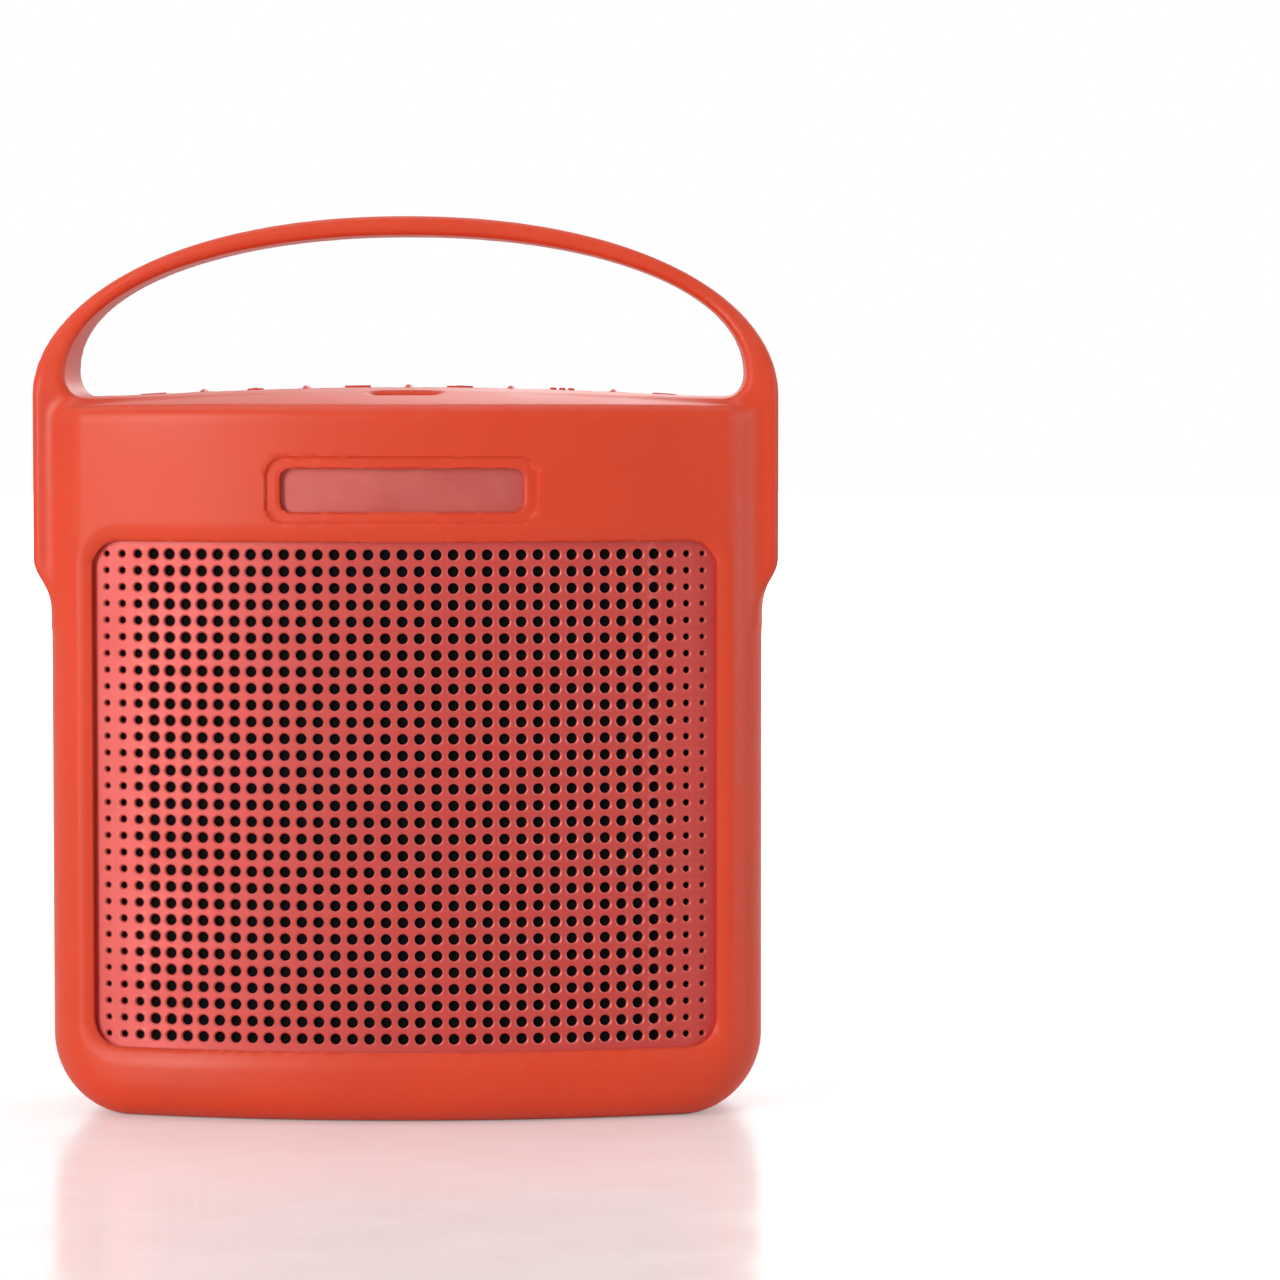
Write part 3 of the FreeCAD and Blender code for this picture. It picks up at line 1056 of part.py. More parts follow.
def leads():
    """Twin leads of the drive units, and the battery's lead to its board socket."""
    board = MAIN_BOARD_Y - 3.5
    foot = MAIN_BOARD_FOOT + 4.2
    drive = []
    for x, end in ((DRIVER_XS[0], 11.5), (DRIVER_XS[1], 16.5)):
        side = 1 if x > 0 else -1
        y = DRIVER_SEAT + DRIVER_BASKET_DEPTH - 1.0
        top = DRIVER_HEIGHT + MAGNET_RADIUS + 3.4
        drive.append(lead([V(x, y, top), V(x, y + 8.0, top), V(end, y + 8.0, foot), V(end, board, foot)],
                          2.2, LEAD_RADIUS))
    gap = 0.05
    low = BATTERY_FOOT + BATTERY_CELL[2] + gap
    y = BATTERY_FACE_Y + 1.0
    supply = lead([V(-2, y, low), V(-2, y, MAIN_BOARD_FOOT + 1.7 - gap)], 2.0, LEAD_RADIUS)
    save("wire_leads", Part.makeCompound([s for d in drive + [supply] for s in d.Solids]))


def ribbon():
    """Flat cable from the button board down to the main board."""
    y_top, z_top = 7.0, BUTTON_BOARD_TOP - BOARD_THICKNESS
    z_end = MAIN_BOARD_FOOT + 27.5 + 2.0
    y_end = MAIN_BOARD_Y - 1.2
    t = RIBBON_THICKNESS
    side = [V(0, y_top, z_top), V(0, y_top, z_top - 8), V(0, y_end, z_top - 20), V(0, y_end, z_end)]
    back = [p + V(0, t, 0) for p in reversed(side)]
    back[2] = back[2] + V(0, 0, 0.1)
    wire = Part.makePolygon(side + back + [side[0]])
    face = Part.Face(wire)
    face.translate(V(25 - RIBBON_WIDTH / 2, 0, 0))
    return face.extrude(V(RIBBON_WIDTH, 0, 0))


def rubber_foot():
    """Pad let into the speaker's underside; the sleeve's floor covers it."""
    w, d, r = FOOT_SIZE
    return top_prism(w, d, r, 0, 0, SLEEVE_WALL, SLEEVE_WALL + FOOT_THICKNESS)


def foot_seat():
    w, d, r = FOOT_SIZE
    return top_prism(w + 2 * FIT, d + 2 * FIT, r + FIT, 0, 0, 0, SLEEVE_WALL + FOOT_THICKNESS + SEAT_PLAY)


def small_screws():
    drive = [small_screw(x, z, DRIVER_SEAT - SHEET_METAL, 3.8, 1) for x, z in DRIVER_SCREWS]
    boards = [small_screw(x, z, MAIN_BOARD_Y, 5.0, 1) for x, z in MAIN_BOARD_SCREWS]
    boards += [small_screw(x, z, PORT_BOARD_Y, 5.0, 1) for x, z in PORT_BOARD_SCREWS]
    boards += [small_screw(x, z, TRAY_BACK, 5.0, 1) for x, z in TRAY_SCREWS]
    floor = BUTTON_BOARD_TOP - BOARD_THICKNESS
    boards += [join([upright(SCREW_RADIUS, x, y, floor, BUTTON_BOARD_TOP + 5),
                     upright(SCREW_HEAD_RADIUS, x, y, floor - 1.2, floor)]) for x, y in BOARD_POSTS]
    save("small_screws", Part.makeCompound(drive + boards))


# ---------------------------------------------------------------- the assembly
def main():
    os.makedirs("parts", exist_ok=True)
    speaker_body = pillow(SLEEVE_WALL)
    lining = pillow(HOUSING_INSET)
    panel_lining = pillow(HOUSING_INSET + FIT)
    save("silicone_sleeve", sleeve())
    skin = pillow(0)
    roof_skin = skin.cut(pillow(SLEEVE_WALL - KEY_TRAVEL - PAD_GAP))
    core = skin.cut(speaker_body)
    roof_above = pillow(-ICON_RELIEF).cut(pillow(ICON_RELIEF))
    roof_below = pillow(-1).cut(pillow(ICON_RELIEF))
    for name, x in zip(KEY_NAMES, KEY_XS):
        save(name + "_pad", pad(name, x, roof_skin, core, roof_above, roof_below))
        save(name + "_key", key(x, speaker_body))
    save("control_panel", control_panel(speaker_body, panel_lining))
    save("button_board", button_board())
    save("tact_switches", tact_switches())
    status_parts(speaker_body)
    save("front_housing", front_housing(speaker_body, lining).cut(foot_seat()))
    save("rear_housing", rear_housing(speaker_body, lining).cut(foot_seat()))
    save("housing_gasket", housing_gasket().cut(foot_seat()))
    save("housing_screws", housing_screws())
    save("front_grille", grille(WINDOW_HALF_WIDTH, FRONT_WINDOW_HEIGHT, FRONT_WINDOW_CENTRE, -1, False))
    save("rear_grille", grille(REAR_WINDOW_HALF_WIDTH, REAR_WINDOW_HEIGHT, REAR_WINDOW_CENTRE, 1, True))
    save("front_cloth", cloth(WINDOW_HALF_WIDTH, FRONT_WINDOW_HEIGHT, FRONT_WINDOW_CENTRE, -1))
    save("rear_cloth", cloth(REAR_WINDOW_HALF_WIDTH, REAR_WINDOW_HEIGHT, REAR_WINDOW_CENTRE, 1))
    save("badge_plate", badge())
    drivers()
    save("driver_gaskets", driver_gaskets())
    radiator("front", FRONT_RADIATOR_WIDTH, FRONT_RADIATOR_HEIGHT, BAFFLE_FACE, -1)
    radiator("rear", REAR_RADIATOR_WIDTH, REAR_WINDOW_CENTRE, REAR_BAFFLE_FACE, 1)
    battery()
    main_board()
    sockets()
    leads()
    save("button_ribbon", ribbon())
    save("rubber_foot", rubber_foot())
    small_screws()


main()
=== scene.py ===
# %% [markdown]
# # A portable speaker in a silicone carry sleeve
#
# The object is a small box-shaped speaker inside one soft moulding: a sleeve with a carry handle.
# Every size below is in millimetres until it goes into a mesh, because the moulding's own sizes
# are in millimetres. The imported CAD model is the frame: it says where everything is.

# %% Load the frame
import math

import bmesh
import bpy
import numpy as np
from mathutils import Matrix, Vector


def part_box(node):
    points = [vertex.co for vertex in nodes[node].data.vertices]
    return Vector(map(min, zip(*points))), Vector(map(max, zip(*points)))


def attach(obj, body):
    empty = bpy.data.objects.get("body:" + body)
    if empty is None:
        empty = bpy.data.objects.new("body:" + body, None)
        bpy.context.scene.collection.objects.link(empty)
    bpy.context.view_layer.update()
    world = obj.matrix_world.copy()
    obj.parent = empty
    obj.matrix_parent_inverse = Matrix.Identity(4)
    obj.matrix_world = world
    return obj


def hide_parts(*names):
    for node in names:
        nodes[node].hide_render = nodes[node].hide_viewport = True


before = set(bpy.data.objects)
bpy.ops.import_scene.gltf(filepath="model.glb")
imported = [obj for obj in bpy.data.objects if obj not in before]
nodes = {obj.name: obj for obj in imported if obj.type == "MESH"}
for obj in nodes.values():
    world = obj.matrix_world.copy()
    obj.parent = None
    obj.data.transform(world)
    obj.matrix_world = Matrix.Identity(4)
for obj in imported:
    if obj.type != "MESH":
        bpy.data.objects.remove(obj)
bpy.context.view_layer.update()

# %% [markdown]
# ## The sizes that the visible surfaces share
#
# The front and rear are bowed in plan, the roof is a shallow dome, and the lower corners are round.
# Every surface is this same pillow at some depth under the skin. So the sizes come first, and the
# functions that give the bow's and the roof's place follow from them.

# %% Shared sizes
MM = 0.001
SLEEVE_LOW, SLEEVE_HIGH = (np.array(v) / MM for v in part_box("silicone_sleeve"))
WALL = 2.5
HALF_WIDTH = 66.5
HALF_DEPTH = 30.5
CROWN = 136.0
FACE_RADIUS = 172.0
ROOF_ACROSS, ROOF_DEEP = 804.0, 127.0
CORNER_RADIUS = 15.0
RIM_RADIUS = 7.0
CREASE_RADIUS = 2.2
HUB = FACE_RADIUS - HALF_DEPTH
WINDOW_HALF, WINDOW_RADIUS = 57.9, 5.0
FRONT_WINDOW = (13.3, 107.5)
REAR_WINDOW_HALF = 56.6
REAR_WINDOW = (95.2, 120.6)
KEY_PITCH = 19.33
KEY_XS = [(i - 2.5) * KEY_PITCH for i in range(6)]
KEY_NAMES = ["power", "pairing", "volume_down", "volume_up", "multifunction", "input"]
print("sleeve box:", SLEEVE_LOW.round(2), SLEEVE_HIGH.round(2))


def bow_y(x, depth=0.0):
    """How far the bowed face stands from the middle plane at x, that deep under the skin."""
    return np.sqrt((FACE_RADIUS - depth) ** 2 - np.square(x)) - HUB


def roof_z(x, y, depth=0.0):
    """Height of the dome over x, y, that deep under the skin."""
    fall = ROOF_DEEP - depth - np.sqrt((ROOF_DEEP - depth) ** 2 - np.square(y))
    return CROWN - ROOF_ACROSS + np.sqrt((ROOF_ACROSS - depth - fall) ** 2 - np.square(x))


# %% [markdown]
# ## A surface from a distance formula
#
# A silicone moulding has no sharp edges and no seams: one wall flows into the next. Such a shape is
# hard to lay out by hand in faces. It is easy to say as a distance formula: how far a point is from
# the skin, negative inside. Two formulas join with a rounded edge or a soft fillet. A surface net
# then puts one vertex in every grid cell that the skin crosses, and each vertex is pulled exactly
# onto the skin. The grid lines are closer together where the shape has fine lips.


# %% Distance formulas that join softly
def round_cut(a, b, radius):
    """Inside both shapes, with the edge between them rounded to radius."""
    over = np.hypot(np.maximum(a + radius, 0), np.maximum(b + radius, 0))
    return np.minimum(np.maximum(a, b), -radius) + over


def soft_join(a, b, width):
    """Inside either shape, with a soft fillet about that wide where they meet."""
    h = np.maximum(width - np.abs(a - b), 0) / width
    return np.minimum(a, b) - h * h * width / 4


def rounded_box(u, v, half_u, half_v, radius):
    """Distance to a rounded rectangle centred on u = v = 0."""
    du, dv = np.abs(u) - half_u + radius, np.abs(v) - half_v + radius
    return np.hypot(np.maximum(du, 0), np.maximum(dv, 0)) + np.minimum(np.maximum(du, dv), 0) - radius


def step(a, b, t):
    """Eases from 0 at a to 1 at b."""
    t = np.clip((t - a) / (b - a), 0, 1)
    return t * t * (3 - 2 * t)


def bow(x, y):
    """Distance to the bowed front and rear."""
    return np.hypot(x, np.abs(y) + HUB) - FACE_RADIUS


def pillow(x, y, z, depth=0.0):
    """The speaker's shape, that deep under the sleeve's skin."""
    outline = rounded_box(x, z - 200, HALF_WIDTH, 200, CORNER_RADIUS)
    roof = np.hypot(np.hypot(x, z - CROWN + ROOF_ACROSS) - ROOF_ACROSS + ROOF_DEEP, y) - ROOF_DEEP
    body = round_cut(outline + depth, bow(x, y) + depth, max(RIM_RADIUS - depth, 1))
    return round_cut(body, roof + depth, max(CREASE_RADIUS - depth / 2, 0.4))


# %% A surface net, pulled onto the skin
def grid_lines(low, high, coarse, fine, zones):
    """Grid lines from low to high: fine steps inside the zones, coarse ones elsewhere."""
    marks = sorted({low, high, *(v for zone in zones for v in zone)})
    lines = [low]
    for a, b in zip(marks, marks[1:]):
        inside = any(p <= (a + b) / 2 <= q for p, q in zones)
        count = max(1, round((b - a) / (fine if inside else coarse)))
        lines += [a + (b - a) * (i + 1) / count for i in range(count)]
    return np.array(lines)


def surface_net(formula, axes, pulls=3):
    """Vertices and quads of the formula's zero surface on a grid with those lines."""
    f = formula(*np.meshgrid(*axes, indexing="ij"))
    cells = tuple(n - 1 for n in f.shape)
    total, count = np.zeros(cells + (3,)), np.zeros(cells)
    crossings = []
    for axis in range(3):
        a = np.take(f, range(f.shape[axis] - 1), axis)
        b = np.take(f, range(1, f.shape[axis]), axis)
        crossed = (a < 0) != (b < 0)
        at = np.argwhere(crossed)
        t = a[crossed] / (a[crossed] - b[crossed])
        point = np.stack([axes[k][at[:, k]] for k in range(3)], 1)
        point[:, axis] += t * (axes[axis][at[:, axis] + 1] - axes[axis][at[:, axis]])
        others = [k for k in range(3) if k != axis]
        around = []
        for du, dv in ((0, 0), (-1, 0), (-1, -1), (0, -1)):
            cell = at.copy()
            cell[:, others[0]] += du
            cell[:, others[1]] += dv
            np.add.at(total, tuple(cell.T), point)
            np.add.at(count, tuple(cell.T), 1)
            around.append(cell)
        crossings.append((around, a[crossed] < 0, axis))
    used = count > 0
    number = np.full(cells, -1)
    number[used] = np.arange(used.sum())
    vertices = total[used] / count[used][:, None]
    quads = []
    for around, outward, axis in crossings:
        loop = np.stack([number[tuple(c.T)] for c in around], 1)
        flip = outward if axis == 1 else ~outward
        loop[flip] = loop[flip][:, ::-1]
        quads.append(loop)
    return pull_onto(formula, vertices, pulls), np.concatenate(quads)


def pull_onto(formula, points, pulls, reach=0.4):
    """Moves points along the formula's slope until they lie on its zero surface."""
    h = 0.02
    for _ in range(pulls):
        value = formula(*points.T)
        slope = np.stack([(formula(*(points + d).T) - formula(*(points - d).T)) / (2 * h)
                          for d in np.eye(3) * h], 1)
        move = -(value / np.maximum((slope ** 2).sum(1), 0.05))[:, None] * slope
        length = np.maximum(np.linalg.norm(move, axis=1, keepdims=True), 1e-9)
        points = points + move * np.minimum(1, reach / length)
    return points


def mesh_object(name, vertices, faces, smooth_angle=None):
    """A mesh object from millimetre vertices. Faces sharper than smooth_angle keep a crisp edge."""
    mesh = bpy.data.meshes.new(name)
    mesh.from_pydata((np.asarray(vertices) * MM).tolist(), [], np.asarray(faces).tolist()
                     if isinstance(faces, np.ndarray) else faces)
    mesh.update()
    obj = bpy.data.objects.new(name, mesh)
    bpy.context.scene.collection.objects.link(obj)
    if smooth_angle is not None:
        mesh.shade_smooth()
        mesh.set_sharp_from_angle(angle=math.radians(smooth_angle))
    return obj


# %% [markdown]
# ## The sleeve's formula
#
# The handle is a strap that widens into two lugs on the sleeve's sides. Seen from the front, its
# outer and inner curves are a little squarer than ellipses, so they are superellipses. The strap is
# deepest at the lugs and waisted at the crown. The grille windows have a wide sloping lip, then a
# short wall. The lens slot in the roof and the port window in the side have a narrower lip. All of
# them are pockets deeper than the wall, and the hollow cut later opens them.

# %% Handle and windows as formulas
HANDLE_HALF, HANDLE_TOP, SPRING = 69.5, 168.0, 134.0
OPENING_HALF, OPENING_TOP, OPENING_FOOT, OPENING_CORNER = 63.5, 164.4, 133.4, 5.0
SQUARENESS = 2.12
LUG_TOE, LUG_FULL = 93.5, 104.0
LIP_WIDTH, LIP_DEPTH = 2.4, 1.0
BADGE_Z = 117.0
MEDALLION_Z, MEDALLION_RADIUS, MEDALLION_SINK = 65.0, 15.0, 0.4
LENS_Y, LENS_HALF = -16.2, (6.1, 2.6)
PORT_Z, PORT_HALF = 32.0, (5.5, 13.0)
OPENING_DEPTH = 3.6


def superellipse(u, v, half_u, half_v):
    """About the distance to a superellipse, exact on the curve itself."""
    n = SQUARENESS
    u, v = np.abs(u) / half_u, np.abs(v) / half_v
    g = np.maximum(u ** n + v ** n, 1e-6) ** (1 / n)
    slope = np.hypot(u ** (n - 1) / half_u, v ** (n - 1) / half_v) * g ** (1 - n)
    return (g - 1) / np.maximum(slope, 1e-3)


def handle(x, y, z):
    lug = np.abs(x) - (HALF_WIDTH - 1.5 + (HANDLE_HALF - HALF_WIDTH + 1.5) * step(LUG_TOE, LUG_FULL, z))
    arch = superellipse(x, z - SPRING, HANDLE_HALF, HANDLE_TOP - SPRING)
    outer = np.where(z > SPRING, arch, lug)
    centre = OPENING_FOOT + OPENING_CORNER
    slot = rounded_box(x, z - OPENING_FOOT - 50, OPENING_HALF, 50, OPENING_CORNER)
    inner = np.where(z > centre, superellipse(x, z - centre, OPENING_HALF, OPENING_TOP - centre), slot)
    half_depth = 15.0 - 7.0 * step(CROWN - 2, CROWN + 19, z)
    strap = round_cut(outer, -inner, 1.2)
    strap = round_cut(strap, np.abs(y) - half_depth, 1.4)
    return np.maximum(strap, LUG_TOE - 1 - z)


def pocket(outline, depth_below, deepest):
    """Hollow with that outline from the skin down to a depth."""
    return np.maximum(outline, -depth_below - deepest)


def lipped(outline, depth_below, width=LIP_WIDTH, drop=LIP_DEPTH):
    """The outline, wider near the skin by a sloping lip."""
    return (outline - width * np.clip(1 + depth_below / drop, 0, 1.6)) * 0.6


def sleeve_skin(x, y, z):
    skin = soft_join(pillow(x, y, z), handle(x, y, z), 2.6)
    below_face, below_roof, below_side = bow(x, y), z - roof_z(x, np.clip(y, -40, 40)), x - HALF_WIDTH
    low, high = FRONT_WINDOW
    front = lipped(rounded_box(x, z - (low + high) / 2, WINDOW_HALF, (high - low) / 2, WINDOW_RADIUS),
                   below_face)
    field = rounded_box(x, z - BADGE_Z, 25, 6, 3)
    slot = rounded_box(x, z - BADGE_Z, 22.5, 4, 2)
    low, high = REAR_WINDOW
    rear = lipped(rounded_box(x, z - (low + high) / 2, REAR_WINDOW_HALF, (high - low) / 2, WINDOW_RADIUS),
                  below_face)
    disc = np.hypot(x, z - MEDALLION_Z) - MEDALLION_RADIUS
    lens = lipped(rounded_box(x, y - LENS_Y, *LENS_HALF, LENS_HALF[1]), below_roof, 0.8, 0.8)
    port = lipped(rounded_box(y, z - PORT_Z, *PORT_HALF, PORT_HALF[0]), below_side, 1.0, 0.8)
    in_front, behind = y, -y
    cuts = [(np.maximum(pocket(front, below_face, OPENING_DEPTH), in_front), 0.5),
            (np.maximum(pocket(slot, below_face, OPENING_DEPTH), in_front), 0.3),
            (np.maximum(pocket(field, below_face, 0.8), in_front), 0.3),
            (np.maximum(pocket(rear, below_face, OPENING_DEPTH), behind), 0.5),
            (np.maximum(pocket(disc, below_face, MEDALLION_SINK), behind), 0.15),
            (pocket(lens, below_roof, OPENING_DEPTH), 0.4),
            (pocket(port, below_side, OPENING_DEPTH), 0.4)]
    for cut, edge in cuts:
        skin = round_cut(skin, -cut, edge)
    return skin


# %% Build the sleeve's skin
FINE = 0.55
lip_zones_x = [(-61.1, -52.0), (52.0, 61.1), (-25.6, -21.9), (21.9, 25.6), (-15.4, 15.4), (-70.5, -61.0),
               (61.0, 70.5)]
lip_zones_z = [(10.2, 14.8), (17.0, 20.5), (106.0, 123.6), (94.0, 98.0), (49.6, 80.4), (131.0, 170.0)]
net_axes = [grid_lines(-71.0, 71.0, 1.35, 0.66, lip_zones_x),
            grid_lines(-32.3, 32.2, 1.05, FINE, [(-32.3, -17.0), (17.0, 32.2)]),
            grid_lines(-1.0, 169.5, 1.3, 0.7, lip_zones_z)]
skin_vertices, skin_quads = surface_net(sleeve_skin, net_axes)
print("grid", [len(a) for a in net_axes], "skin quads:", len(skin_quads))

# %% [markdown]
# ## Hollow it out and open the roof
#
# The net gives a solid block with deep pockets. A second, coarser net of the same pillow, a wall's
# thickness smaller, is the hollow. A boolean takes it away and so opens every pocket. The key
# openings have crisp edges on the real moulding, because each one is a narrow groove, so they are
# cut with exact prisms instead of being part of the formula.


# %% Prisms and booleans
def rounded_loop(half_u, half_v, radius, per_corner=8):
    """Points round a rounded rectangle, anticlockwise, starting at the right hand side."""
    points = []
    for k, (su, sv) in enumerate(((1, 1), (-1, 1), (-1, -1), (1, -1))):
        for i in range(per_corner + 1):
            a = math.pi / 2 * (k + i / per_corner)
            points.append((su * (half_u - radius) + radius * math.cos(a),
                           sv * (half_v - radius) + radius * math.sin(a)))
    return points


def skinned(name, loops, closed_start=True, closed_end=True, smooth_angle=35):
    """A surface through loops of equally many points, with flat ends where asked."""
    n = len(loops[0])
    vertices = [p for loop in loops for p in loop]
    faces = []
    for i in range(len(loops) - 1):
        for j in range(n):
            k = (j + 1) % n
            faces.append((i * n + j, i * n + k, (i + 1) * n + k, (i + 1) * n + j))
    if closed_start:
        faces.append(tuple(reversed(range(n))))
    if closed_end:
        faces.append(tuple(range((len(loops) - 1) * n, len(loops) * n)))
    return mesh_object(name, vertices, faces, smooth_angle)


def joined(name, objects):
    """One object from several."""
    target = bmesh.new()
    for o in objects:
        target.from_mesh(o.data)
        bpy.data.objects.remove(o)
    mesh = bpy.data.meshes.new(name)
    target.to_mesh(mesh)
    target.free()
    obj = bpy.data.objects.new(name, mesh)
    bpy.context.scene.collection.objects.link(obj)
    return obj


def welded(obj):
    """Joins vertices that lie on each other."""
    mesh = bmesh.new()
    mesh.from_mesh(obj.data)
    bmesh.ops.remove_doubles(mesh, verts=mesh.verts, dist=1e-6)
    mesh.to_mesh(obj.data)
    mesh.free()
    return obj


def applied(obj):
    """Keeps what the object's modifiers make of its mesh."""
    depsgraph = bpy.context.evaluated_depsgraph_get()
    mesh = bpy.data.meshes.new_from_object(obj.evaluated_get(depsgraph))
    obj.modifiers.clear()
    obj.data = mesh


def cut_away(obj, cutter):
    """Boolean difference, applied at once."""
    modifier = obj.modifiers.new("cut", "BOOLEAN")
    modifier.operation, modifier.object, modifier.solver = "DIFFERENCE", cutter, "EXACT"
    applied(obj)
    bpy.data.objects.remove(cutter)


# %% The finished sleeve
PAD_HALF = (7.7, 6.5)
PAD_RADIUS, PAD_GAP = 4.0, 0.35

cavity_axes = [np.linspace(-67, 67, 60), np.linspace(-31, 31, 30), np.linspace(1, 136, 62)]
cavity_vertices, cavity_quads = surface_net(lambda x, y, z: pillow(x, y, z, WALL - 0.1), cavity_axes)
cavity = mesh_object("cavity", cavity_vertices, cavity_quads)
key_cutters = []
for x in KEY_XS:
    outline = rounded_loop(PAD_HALF[0] + PAD_GAP, PAD_HALF[1] + PAD_GAP, PAD_RADIUS + PAD_GAP)
    key_cutters.append(skinned("cutter", [[(x + u, v, z) for u, v in outline] for z in (125.0, 140.0)]))
sleeve = mesh_object("carry_sleeve", skin_vertices, skin_quads)
cut_away(sleeve, cavity)
cut_away(sleeve, joined("key_cutters", key_cutters))
sleeve.data.shade_smooth()
sleeve.data.set_sharp_from_angle(angle=math.radians(42))
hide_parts("silicone_sleeve")
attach(sleeve, "speaker")
print("sleeve faces:", len(sleeve.data.polygons))

# %% [markdown]
# ## Ridges and key pads
#
# Between the pads stand five low ridges, so that a thumb can count the keys without looking. Each
# pad is a plug of the same silicone that follows the roof's dome. It is skinned through loops: up
# the wall, round a small edge, then inwards over the dome. Its mark is a low raised shape.

# %% Ridges
def ridge(x):
    across, along = 9, 17
    loops = []
    for i in range(along):
        v = -1 + 2 * i / (along - 1)
        y = 4.6 * v
        rise = 0.62 * (1 - abs(v) ** 6) + 0.02
        loop = [(x + 0.75, y, roof_z(x + 0.75, y) - 0.5)]
        for k in range(across):
            u = 1 - 2 * k / (across - 1)
            bump = (1 - abs(u) ** 1.7)
            loop.append((x + 0.75 * u, y, roof_z(x + 0.75 * u, y) - 0.04 + rise * bump))
        loop.append((x - 0.75, y, roof_z(x - 0.75, y) - 0.5))
        loops.append(loop)
    return skinned("ridge", [loop[::-1] for loop in loops], smooth_angle=50)


ridges = joined("thumb_ridges", [ridge((a + b) / 2) for a, b in zip(KEY_XS, KEY_XS[1:])])
ridges.data.shade_smooth()
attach(ridges, "speaker")
print("ridges:", len(ridges.data.polygons))


# %% Key pads
def pad(x):
    hu, hv = PAD_HALF
    rows = [(0.0, 1.55), (0.0, 0.9), (0.0, 0.5), (0.05, 0.25), (0.17, 0.09), (0.38, 0.01), (0.7, 0.0),
            (1.5, -0.02), (2.6, -0.02), (3.8, 0.0), (4.8, 0.01), (5.6, 0.02), (6.2, 0.02)]
    loops = []
    for inset, depth in rows:
        outline = rounded_loop(hu - inset, hv - inset, max(PAD_RADIUS - inset, 0.12))
        loops.append([(x + u, v, float(roof_z(x + u, v)) - depth) for u, v in outline])
    return skinned("pad", loops)


def on_roof(x):
    """Puts points on the roof, with u and v measured from the key at x."""
    return lambda u, v, height: (x + u, v, float(roof_z(x + u, v)) + height)


def raised(outline, place, relief=0.3):
    """A low plateau with that outline. place(u, v, height) puts a point on the surface."""
    cu = sum(u for u, _ in outline) / len(outline)
    cv = sum(v for _, v in outline) / len(outline)
    loops = []
    for shrink, height in ((0.0, -0.25), (0.0, relief * 0.55), (0.06, relief * 0.85), (0.16, relief)):
        loop = []
        for u, v in outline:
            away = math.hypot(u - cu, v - cv)
            k = 1 - shrink / max(away, 0.3)
            loop.append(place(cu + (u - cu) * k, cv + (v - cv) * k, height))
        loops.append(loop)
    return skinned("plateau", loops)


def bar(place, width, depth, du=0.0, dv=0.0, relief=0.3):
    outline = [(u + du, v + dv) for u, v in rounded_loop(width / 2, depth / 2, 0.45, 4)]
    return raised(outline, place, relief)


def arc(place, radius, width, start=0.0, turn=360.0, relief=0.3):
    """A raised ring, or a part of one. place(u, v, height) puts a point on the surface."""
    steps = 40
    loops = []
    for i in range(steps + 1):
        a = math.radians(start + turn * i / steps)
        loop = []
        for k in range(9):
            b = math.pi * k / 8
            r = radius + width / 2 * math.cos(b)
            loop.append(place(r * math.cos(a), r * math.sin(a), (relief + 0.12) * math.sin(b) ** 0.6 - 0.12))
        loops.append(loop[::-1])
    whole = turn >= 360
    swept = skinned("arc", loops, not whole, not whole, 60)
    return welded(swept) if whole else swept


def mark(name, x):
    place = on_roof(x)
    if name == "power":
        return [arc(place, 2.2, 0.8, 125, 290), bar(place, 0.8, 2.6, 0, 1.9)]
    if name == "pairing":
        return [bar(place, 2.8, 1.1, 0, side * 1.8) for side in (-1, 1)] + [bar(place, 1.0, 4.0, relief=0.38)]
    if name == "volume_down":
        return [bar(place, 5.0, 1.2, relief=0.38)]
    if name == "volume_up":
        return [bar(place, 5.0, 1.2), bar(place, 1.2, 5.0, relief=0.38)]
    if name == "multifunction":
        return [raised([(u + du, v) for u, v in rounded_loop(0.62, 0.62, 0.6, 6)], place, 0.38)
                for du in (-1.7, 0, 1.7)]
    return [arc(place, 1.95, 0.85)]


pads, marks = [], []
for name, x in zip(KEY_NAMES, KEY_XS):
    plug = pad(x)
    plug.name = name + "_soft_pad"
    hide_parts(name + "_pad")
    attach(plug, name + "_button")
    sign = joined(name + "_mark", mark(name, x))
    sign.data.shade_smooth()
    sign.data.set_sharp_from_angle(angle=math.radians(50))
    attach(sign, name + "_button")
    pads.append(plug)
    marks.append(sign)
print("pads:", len(pads), "marks:", len(marks))

# %% [markdown]
# ## The medallion
#
# The round field on the rear is sunk a little into the silicone. It carries a plain sign for sound:
# a dot with three arcs on each side, all moulded as low rounded ridges.


# %% Sound-wave medallion
def on_medallion(u, v, height):
    """Puts points on the sunken field, where u runs to the right as seen from behind."""
    return -u, float(bow_y(u)) - MEDALLION_SINK + height, MEDALLION_Z + v


waves = [arc(on_medallion, radius, 1.1, start, 100) for radius in (5.0, 8.2, 11.4) for start in (-50, 130)]
waves.append(raised(rounded_loop(1.7, 1.7, 1.69, 6), on_medallion))
medallion = joined("wave_medallion", waves)
medallion.data.shade_smooth()
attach(medallion, "speaker")
print("medallion faces:", len(medallion.data.polygons))

# %% [markdown]
# ## Perforated grilles
#
# The real grille is punched while it is flat and then bowed, so the rows of holes stay even along
# the bow. The same is done here: the sheet is laid out flat, one square cell for each hole, and
# each point is then bent onto the bow. Every hole has a soft punched rim, which catches the light.
# The outer columns have smaller holes, so that the pattern fades towards the frame.

# %% One punched sheet
COLUMN_PITCH, ROW_PITCH = 3.13, 3.085
HOLE_RADIUS = 1.025
EDGE_HOLE_RADII = (0.5, 0.65, 0.825)
SHEET = 0.8
RIM_WIDTH, RIM_SINK = 0.26, 0.17
LAP = 2.4


